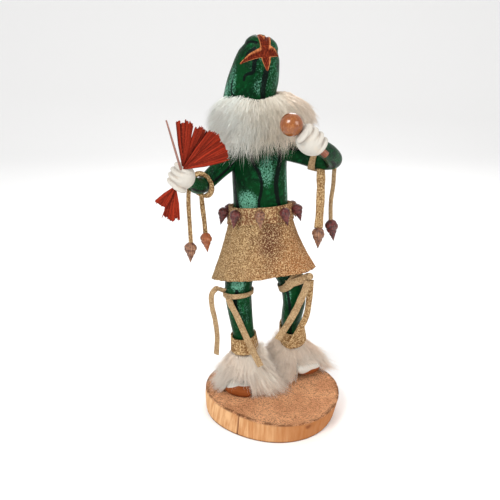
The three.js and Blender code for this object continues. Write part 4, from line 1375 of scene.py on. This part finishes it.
def sew_kilt():
    def outer(angle, down):
        ragged = 0.35 * lumps(oval((0, 0), 40, 40, angle, 0 * down), 2.4, 61)
        down = down + ragged * soft_step(down, 0.96, 1.0) / 60
        return uneven(on_kilt(angle, down, KILT_CLEARANCE + KILT_THICKNESS), 0.18, 2.5, 62)

    def inner(angle, down):
        return on_kilt(angle, down, KILT_CLEARANCE)

    mesh = closed_band("kilt", KILT_COLUMNS, 2 * KILT_ROWS, inner, outer)
    points = read_points(mesh)
    wander = 5 * lumps(points, 7, 63) + 2.5 * lumps(points, 2.4, 64)
    away = np.hypot((points[:, 0] - STAIN_CENTRE[0] + wander) / STAIN_SIZE[0],
                    (points[:, 2] - STAIN_CENTRE[1] + wander) / STAIN_SIZE[1])
    record(mesh, "stain", 0.95 * (1 - soft_step(away, 0.2, 1.5)) * (points[:, 1] < 12))
    tones = bpy.context.scene.dress_suede
    finish = suede("Kilt suede", tones.kilt, tones.kilt_dark, tones.kilt_light, True, 1150.0, 0.85)
    made = place_piece("suede_kilt", mesh, finish, "suede", "kilt")


def sew_belt():
    low = BELT_HEIGHT / (WAIST_Z - HEM_Z)

    def at(angle, along, out):
        return on_kilt(angle, -0.012 + (low + 0.012) * along, BELT_OUT + out)

    def outer(angle, along):
        return uneven(at(angle, along, BELT_THICKNESS - 0.7 * along), 0.15, 2.2, 65)

    mesh = closed_band("belt", 260, 48, lambda angle, along: at(angle, along, 0.0), outer)
    record(mesh, "stain", 0.3 + 0.4 * lumps(read_points(mesh), 8, 66))
    tones = bpy.context.scene.dress_suede
    finish = suede("Belt suede", tones.kilt, tones.belt_dark, tones.kilt_light, True, 760.0)
    place_piece("suede_belt", mesh, finish, "suede", "belt")


def band_on(name, limb, start, width, inner_out, thickness, lean=0.0, flare=0.0):
    """A band of a width round a limb. It starts at a place from 0 to 1 along the limb."""
    run = np.linalg.norm(np.diff(limb.centres, axis=0), axis=1).sum()

    def reach(angle, along, from_limb):
        out = np.full(len(angle), from_limb)
        t = start + width / run * along + lean * np.cos(angle)
        rough = 0.12 * lumps(limb.point(t, angle, out), 1.8, 67)
        return limb.point(t, angle, out + flare * along + rough)

    return closed_band(name, 90, 24, lambda angle, along: reach(angle, along, inner_out),
                       lambda angle, along: reach(angle, along, inner_out + thickness))


def thong_suede(rough_side=False):
    """Smooth thin suede, or the same with its rough side out."""
    tones = bpy.context.scene.dress_suede
    if rough_side:
        return suede("Rough thong", tones.kilt, tones.cuff_dark, tones.kilt_light)
    return suede("Thong suede", tones.thong, tones.thong_dark, tones.thong_light, scale=1100.0,
                 contrast=0.5)


def tie_bands():
    tones = bpy.context.scene.dress_suede
    tan = thong_suede()
    knobbly = suede("Cuff suede", tones.kilt, tones.cuff_dark, tones.kilt_light, scale=640.0)
    for name, limb, start, width, inner, thickness, lean, flare, coarse in BANDS:
        mesh = band_on(name, LIMBS[limb], start, width, inner, thickness, lean, flare)
        place_piece("suede_" + name, mesh, knobbly if coarse else tan, "suede", name)
    knee = band_on("left_knee_band", LIMBS["left_leg"], 0.115, KNEE_WIDTH, 0.3, 1.5, -0.05)
    link = strip_mesh("knee_link", ((10, -4, 120.5), (20, -5.4, 124.4), KNOT), KNEE_WIDTH, FRONT)
    knot = egg("knee_knot", KNOT, np.eye(3), KNOT_SIZES)
    place_piece("suede_left_knee_band", joined("knee", [knee, link, knot]), tan, "suede",
                "left_knee_band")


def strip_mesh(name, line, width, facing, wander=0.0, lead=(0, 0, 0)):
    """A flat strip of suede along a line, with soft edges. A lead carries its start on."""
    path = smooth_path(line, STRIP_POINTS)
    place_along = np.linspace(0, 1, STRIP_POINTS)
    path = path + np.array(lead) * (1 - place_along[:, None] / LEAD_SHARE).clip(0)
    tangents = unit(np.gradient(path, axis=0))
    wide = unit(np.cross(tangents, facing))
    thin = np.cross(wide, tangents)

    def place(u, v):
        t = np.clip((v - 0.02) / 0.96, 0, 1)
        closing = np.clip(np.minimum(v, 1 - v) / 0.02, 0, 1)
        turn = 2 * math.pi * u
        across = np.sign(np.cos(turn)) * np.abs(np.cos(turn)) ** 0.35 * width / 2
        deep = np.sign(np.sin(turn)) * np.abs(np.sin(turn)) ** 0.5 * THONG_THICKNESS / 2
        pick = [np.stack([np.interp(t, place_along, column) for column in table.T], axis=1)
                for table in (path, wide, thin)]
        across = across * (1 + wander * lumps(pick[0], 6, 71)) * closing
        return pick[0] + pick[1] * across[:, None] + pick[2] * (deep * closing)[:, None]

    return skin(name, 16, 100, place)


def hang_thongs():
    for name, line, width, facing, lead, rough_side, shell in THONGS:
        mesh = strip_mesh(name, line, width, facing, 0.08, lead)
        made = place_piece("suede_" + name, mesh, thong_suede(rough_side), "suede", name)


# Snail shells.

WHORL_SHRINK = 0.62
SHELL_GIRTH = 0.285
RIBS_PER_WHORL = 15
LIP_END = 0.45
SHELL_SEED = 3
SHELL_COLUMNS = 36
SHELL_ROWS = 66
SHELL_PROFILE = ((0, 0), (0.03, 0.4), (0.1, 0.72), (0.2, 0.95), (0.3, 1.0), (0.42, 0.9),
                 (0.55, 0.68), (0.7, 0.45), (0.85, 0.22), (0.96, 0.07), (1, 0))


def shell_mesh(name, mouth, down, length, turn):
    """A pointed snail shell, spire down: ribbed whorls that wind up to the tip, and a lip."""
    down = unit(down)
    side = unit(np.cross(down, (0.31, 0.95, 0.05)))
    other = np.cross(down, side)

    def winding(u, v):
        """Whole turns from the tip, and 0 in a seam and 1 on a whorl's crown."""
        left = np.clip(1 - v, 0.03, 1)
        turns = np.log(left) / math.log(WHORL_SHRINK) + u
        return turns, np.sin(math.pi * (turns % 1)) ** 0.6

    def place(u, v):
        turns, crown = winding(u, v)
        spin = 2 * math.pi * u + turn
        rib = np.cos(2 * math.pi * RIBS_PER_WHORL * u + 1.2 * turns)
        ring = np.cos(2 * math.pi * 4 * (turns % 1))
        size = np.interp(v, *zip(*SHELL_PROFILE))
        swell = 0.84 + 0.16 * crown + (0.03 * rib + 0.025 * ring) * crown
        lip = 0.16 * np.exp(-((u - 0.3) / 0.05) ** 2) * (v < LIP_END)
        radius = SHELL_GIRTH * length * size * (swell + lip * np.sin(math.pi * v / LIP_END))
        over, beside = radius * np.cos(spin), radius * np.sin(spin)
        return mouth + over[:, None] * side + beside[:, None] * other + (length * v)[:, None] * down

    mesh = skin(name, SHELL_COLUMNS, SHELL_ROWS, place)
    apart = read_points(mesh) - mouth
    turned = np.arctan2(apart @ other, apart @ side) - turn
    u = (turned / (2 * math.pi)) % 1
    turns, crown = winding(u, np.clip(apart @ down / length, 0, 1))
    rib = 0.5 + 0.5 * np.cos(2 * math.pi * RIBS_PER_WHORL * u + 1.2 * turns)
    record(mesh, "rib", 0.7 * rib ** 2 * crown)
    return mesh


def gather_shells():
    tones = bpy.context.scene.dress_shells
    finishes = {
        "maroon": snail_shell("Maroon snail shell", tones.maroon, rgb(48, 20, 20), rgb(134, 84, 74)),
        "orange": snail_shell("Orange snail shell", tones.orange, rgb(118, 60, 34),
                              rgb(196, 138, 96)),
        "speckled": snail_shell("Speckled snail shell", tones.speckled, rgb(72, 40, 32),
                                rgb(184, 142, 110)),
    }
    random = np.random.default_rng(SHELL_SEED)
    out = BELT_OUT + BELT_THICKNESS + SHELL_GIRTH * BELT_SHELL_LENGTH - SHELL_SINK
    for number in range(BELT_SHELLS):
        angle = np.array([math.radians(FIRST_SHELL_TURN + 360 / BELT_SHELLS * number)])
        mouth = on_kilt(angle, np.array([0.0]), out)[0]
        tip = on_kilt(angle, np.array([0.3]), out + 1.5)[0]
        name = f"belt_shell_{number + 1}"
        mesh = shell_mesh(name, mouth, tip - mouth, BELT_SHELL_LENGTH, random.uniform(0, 6))
        tone = "speckled" if number in PALE_BELT_SHELLS else "maroon"
        place_piece("snail_" + name, mesh, finishes[tone], "shell", name)
    for thong, line, _, _, _, _, shell in THONGS:
        if shell:
            down, size, tone = shell
            name = thong.replace("thong", "shell")
            mouth = np.array(line[-1]) + SHELL_OVERLAP * UP
            length = size * SHELL_LENGTH + SHELL_OVERLAP
            mesh = shell_mesh(name, mouth, down, length, random.uniform(0, 6))
            place_piece("snail_" + name, mesh, finishes[tone], "shell", name)


# Feathers.

BARB_THICKNESS = 0.32
SPLIT_CHANCE = 0.12
FEATHER_SEED = 19
# A feather's shaft: [place along it, radius].
SHAFT = ((0, 0.75), (0.5, 0.5), (0.9, 0.3))
SHAFT_SHADE = 0.3


def feather_mesh(name, root, degrees, length, width, layer, random):
    """A trimmed feather: barbs that spread from a shaft and end in a ragged cut."""
    turn = math.radians(degrees)
    up = np.array((math.sin(turn), 0, math.cos(turn)))
    aside = np.array((math.cos(turn), 0, -math.sin(turn)))
    origin = np.array(root) + np.array((0, layer * FEATHER_SPACING, 0))
    points, faces = sliver(2, bmesh.ops.create_cube, size=1)
    half = width / 2
    barbs, tones = [], []
    cut = 0.0
    for place in np.arange(-1, 1, bpy.context.scene.dress_feathers.barb_pitch / MM / half):
        if random.random() < SPLIT_CHANCE:
            cut = random.uniform(-2.4, 0.6)
        step = length * (0.04 + 0.5 * (1 - abs(place)) * random.random())
        top = length * (1 - 0.06 * place * place) + cut + random.normal(0, 0.3)
        droop = np.array((0, random.normal(0, 0.16) - 0.2 * abs(place), 0))
        bottom = origin + up * step + aside * 0.3 * place
        tip = origin + up * top + aside * half * place + droop
        middle = (bottom + tip) / 2 + aside * 0.1 * half * place
        across = unit(np.cross(tip - bottom, (0, 1, 0))) * random.uniform(0.6, 0.9)
        low, high = points[:, 2:] < -0.25, points[:, 2:] > 0.25
        centres = np.where(low, bottom, np.where(high, tip, middle))
        narrow = np.where(high, 0.5, 1.0)
        thick = np.array((0, BARB_THICKNESS, 0))
        barbs.append(centres + points[:, :1] * narrow * across + points[:, 1:2] * thick)
        tones.append(np.clip(0.5 + random.normal(0, 0.3), 0, 1))
    mesh = tiled_mesh(name, np.array(barbs), faces)
    stations = [(*(origin + up * place * length), radius, radius) for place, radius in SHAFT]
    spine = limb_skin(name + "_shaft", Limb(stations), 8, 24, 0.3, 0.3)
    shades = (*np.repeat(tones, len(points)), *np.full(len(spine.vertices), SHAFT_SHADE))
    whole = joined(name, [mesh, spine])
    record(whole, "shade", shades)
    return whole


def fan_feathers():
    random = np.random.default_rng(FEATHER_SEED)
    for name, *shape in FEATHERS:
        mesh = feather_mesh(name, *shape, random)
        place_piece("dyed_" + name, mesh, feather_finish(), "feather", name)
        mesh.polygons.foreach_set("use_smooth", np.zeros(len(mesh.polygons), bool))
    start = np.array(FAN_ROOT) - (1, 3 * FEATHER_SPACING, 0)
    tip = start + QUILL_LENGTH * unit((-0.26, 0, 1))
    run = Limb([(*start, 0.9, 0.9), (*((start + tip) / 2), 0.8, 0.8), (*tip, 0.6, 0.6)])
    place_piece("bare_quill", limb_skin("quill", run, 14, 60), quill_finish(), "feather",
                "feather_quill")


# Camera, light and floor.

CAMERA_PLACE = (-20.5, -500.0, 320.0)
CAMERA_PITCH = 18.83
LENS = 46.1
SENSOR = 36.0
# The floor, in metres: it lies a hair under the slab and curves up behind it.
FLOOR_WIDTH = 6.0
FLOOR_DEPTH = 4.0
FLOOR_FRONT = -1.6
CURVE_START = 1.2
FLOOR_DROP = 0.0002


def set_camera():
    lens = bpy.data.cameras.new("Camera")
    lens.sensor_width, lens.lens = SENSOR, LENS
    camera = bpy.data.objects.new("Camera", lens)
    camera.location = Vector(CAMERA_PLACE) * MM
    camera.rotation_euler = (math.radians(90 - CAMERA_PITCH), 0, 0)
    bpy.context.scene.collection.objects.link(camera)
    bpy.context.scene.camera = camera


def add_light(name, place, aim_height, size, power, colour):
    lamp = bpy.data.lights.new(name, "AREA")
    lamp.shape, lamp.size, lamp.energy, lamp.color = "DISK", size, power, colour
    made = bpy.data.objects.new(name, lamp)
    made.location = place
    aim = Vector((0, 0, aim_height)) - Vector(place)
    made.rotation_euler = aim.to_track_quat("-Z", "Y").to_euler()
    bpy.context.scene.collection.objects.link(made)


def lay_floor(tone):
    def place(u, v):
        back = v * FLOOR_DEPTH + FLOOR_FRONT
        rise = 0.9 * np.maximum(back - CURVE_START, 0) ** 2
        return np.stack([(u - 0.5) * FLOOR_WIDTH, back, rise - FLOOR_DROP], axis=1)

    mesh = skin("floor", 24, 60, place, weld=False)
    mesh.polygons.foreach_set("use_smooth", np.ones(len(mesh.polygons), bool))
    mesh.materials.append(material("Pale floor", lambda n: {}, Base_Color=(tone, tone, tone, 1),
                                   Roughness=0.9))
    floor = bpy.data.objects.new("floor", mesh)
    bpy.context.scene.collection.objects.link(floor)


def tint(name, red, green, blue):
    """A colour setting, given as it looks on a screen."""
    return bpy.props.FloatVectorProperty(
        name=name, description=name + ", as the light falls on it", default=rgb(red, green, blue),
        size=4, min=0, max=1, subtype="COLOR", unit="NONE")


def amount(name, description, default, unit="NONE", low=0.0):
    return bpy.props.FloatProperty(
        name=name, description=description, default=default, min=low, unit=unit)


class StageSettings(bpy.types.PropertyGroup):
    floor_tone: amount("Floor tone", "How pale the floor is", 0.93)
    sky: amount("Sky", "Strength of the light from all round", 0.78)
    key_power: amount("Key power", "Power of the main light", 9.6, "POWER")
    fill_power: amount("Fill power", "Power of the warm light from the right", 4.8, "POWER")
    back_power: amount("Back power", "Power of the light from behind", 4.0, "POWER")


class WoodSettings(bpy.types.PropertyGroup):
    deep_green: tint("Green paint", 3, 50, 20)
    dark_green: tint("Dark green", 2, 26, 13)
    bright_green: tint("Bright green", 10, 88, 44)
    pale_green: tint("Rubbed green", 112, 178, 152)
    line_black: tint("Line paint", 5, 9, 11)
    hand_white: tint("Hand and moccasin paint", 190, 186, 178)
    sole_brown: tint("Sole", 150, 82, 40)
    star_red: tint("Cut of the star", 74, 22, 12)
    # The colour of the painted highlight along the rim of the star's cut.
    star_rim_highlight: tint("Edge of the star", 196, 122, 76)
    ball: tint("Rattle", 132, 72, 20)
    stick: tint("Handle", 128, 60, 26)
    star_depth: amount("Star depth", "How deep the star is cut", STAR_DEPTH * MM, "LENGTH")


class SlabSettings(bpy.types.PropertyGroup):
    top_light: tint("Sawn wood", 244, 182, 134)
    top_dark: tint("Sawn pores", 116, 64, 38)
    side: tint("Peeled side", 214, 170, 124)
    crack_depth: amount("Crack depth", "How deep the drying crack is", 0.0016, "LENGTH")


class SuedeSettings(bpy.types.PropertyGroup):
    kilt: tint("Kilt", 175, 141, 98)
    kilt_dark: tint("Kilt pores", 100, 68, 42)
    kilt_light: tint("Kilt nap", 226, 196, 148)
    belt_dark: tint("Belt pores", 112, 66, 46)
    cuff_dark: tint("Cuff pores", 110, 72, 38)
    # The colour of the painted warm light on the kilt's and belt's right side.
    warm: tint("Kilt's warm side", 188, 112, 62)
    stain: tint("Stain", 92, 44, 36)
    thong: tint("Thong", 190, 158, 118)
    thong_dark: tint("Thong pores", 132, 98, 64)
    thong_light: tint("Thong nap", 226, 202, 162)


class FeatherSettings(bpy.types.PropertyGroup):
    light: tint("Dyed barb", 150, 44, 24)
    dark: tint("Dark barb", 70, 16, 7)
    barb_pitch: amount("Barb pitch", "From one barb to the next", 0.00018, "LENGTH", 0.0001)


class ShellSettings(bpy.types.PropertyGroup):
    maroon: tint("Maroon shell", 88, 32, 32)
    orange: tint("Orange shell", 152, 82, 46)
    speckled: tint("Speckled shell", 122, 82, 60)


class FurSettings(bpy.types.PropertyGroup):
    white: tint("White fur", 251, 255, 250)
    warm: tint("Warm fur", 246, 222, 200)
    tips: tint("Dark tips", 136, 120, 98)
    # The colour of the painted shade among the hairs.
    roots: tint("Roots", 192, 182, 158)
    ruff_hairs: bpy.props.IntProperty(
        name="Ruff hairs", description="How many hairs the ruff has", default=27600, min=3)
    ankle_hairs: bpy.props.IntProperty(
        name="Ankle hairs", description="How many hairs each ankle has", default=11500, min=1)


class DRESS_OT_stage(bpy.types.Operator):
    """Sets up the camera, a pale floor and soft light"""

    bl_idname = "dress.stage"
    bl_label = "Stage"

    def execute(self, context):
        settings = context.scene.dress_stage
        set_camera()
        lay_floor(settings.floor_tone)
        world = bpy.data.worlds.new("Studio")
        world.use_nodes = True
        sky = world.node_tree.nodes["Background"].inputs
        sky["Color"].default_value = (1, 1, 1, 1)
        sky["Strength"].default_value = settings.sky
        context.scene.world = world
        context.scene.view_settings.view_transform = "Standard"
        add_light("Key", (-0.55, -0.75, 0.95), 0.18, 0.5, settings.key_power, (1, 0.99, 0.97))
        add_light("Fill", (0.8, -0.6, 0.6), 0.18, 0.6, settings.fill_power, (1, 0.93, 0.86))
        add_light("Back", (0.1, 0.9, 0.9), 0.2, 0.6, settings.back_power, (1, 1, 1))
        return {"FINISHED"}


class DRESS_OT_thongs(bpy.types.Operator):
    """Hangs the suede thongs and the snail shells"""

    bl_idname = "dress.thongs"
    bl_label = "Thongs and shells"

    def execute(self, context):
        gather_shells()
        hang_thongs()
        return {"FINISHED"}


class DRESS_OT_wood(bpy.types.Operator):
    """Carves and paints the body, head and arms, and turns the rattle"""

    bl_idname = "dress.wood"
    bl_label = "Carved wood"

    def execute(self, context):
        carve_body()
        carve_head()
        carve_arm("right")
        carve_arm("left")
        turn_rattle()
        return {"FINISHED"}


class DRESS_OT_slab(bpy.types.Operator):
    """Saws the slab that the dancer stands on"""

    bl_idname = "dress.slab"
    bl_label = "Slab"

    def execute(self, context):
        saw_slab()
        return {"FINISHED"}


class DRESS_OT_suede(bpy.types.Operator):
    """Makes the kilt, belt and bands of suede"""

    bl_idname = "dress.suede"
    bl_label = "Suede"

    def execute(self, context):
        sew_belt()
        sew_kilt()
        tie_bands()
        return {"FINISHED"}


class DRESS_OT_feathers(bpy.types.Operator):
    """Fans the dyed feathers out of the right hand"""

    bl_idname = "dress.feathers"
    bl_label = "Feathers"

    def execute(self, context):
        fan_feathers()
        return {"FINISHED"}


class DRESS_OT_fur(bpy.types.Operator):
    """Grows the ruff and the fur round the ankles"""

    bl_idname = "dress.fur"
    bl_label = "Fur"

    def execute(self, context):
        dress_ruff()
        dress_ankle("right")
        dress_ankle("left")
        return {"FINISHED"}


class DRESS_PT_panel(bpy.types.Panel):
    """Lists the pieces of the dancer and their settings"""

    bl_idname = "DRESS_PT_panel"
    bl_label = "Carved dancer"
    bl_space_type = "VIEW_3D"
    bl_region_type = "UI"
    bl_category = "Carved dancer"

    def draw(self, context):
        for operator in OPERATORS:
            self.layout.operator(operator.bl_idname)
        for name, kind in SETTINGS.items():
            for key in kind.__annotations__:
                self.layout.prop(getattr(context.scene, name), key)


OPERATORS = (
    DRESS_OT_stage, DRESS_OT_thongs, DRESS_OT_wood, DRESS_OT_slab, DRESS_OT_suede,
    DRESS_OT_feathers, DRESS_OT_fur,
)
SETTINGS = {
    "dress_stage": StageSettings, "dress_wood": WoodSettings, "dress_slab": SlabSettings,
    "dress_suede": SuedeSettings, "dress_feathers": FeatherSettings, "dress_shells": ShellSettings,
    "dress_fur": FurSettings,
}
CLASSES = (*SETTINGS.values(), *OPERATORS, DRESS_PT_panel)


def register():
    for item in CLASSES:
        bpy.utils.register_class(item)
    for name, kind in SETTINGS.items():
        setattr(bpy.types.Scene, name, bpy.props.PointerProperty(type=kind))


def unregister():
    for name in SETTINGS:
        delattr(bpy.types.Scene, name)
    for item in reversed(CLASSES):
        bpy.utils.unregister_class(item)


def main():
    register()
    bpy.ops.dress.stage()
    bpy.ops.dress.thongs()
    bpy.ops.dress.wood()
    bpy.ops.dress.slab()
    bpy.ops.dress.suede()
    bpy.ops.dress.feathers()
    bpy.ops.dress.fur()


if __name__ == "__main__":
    main()
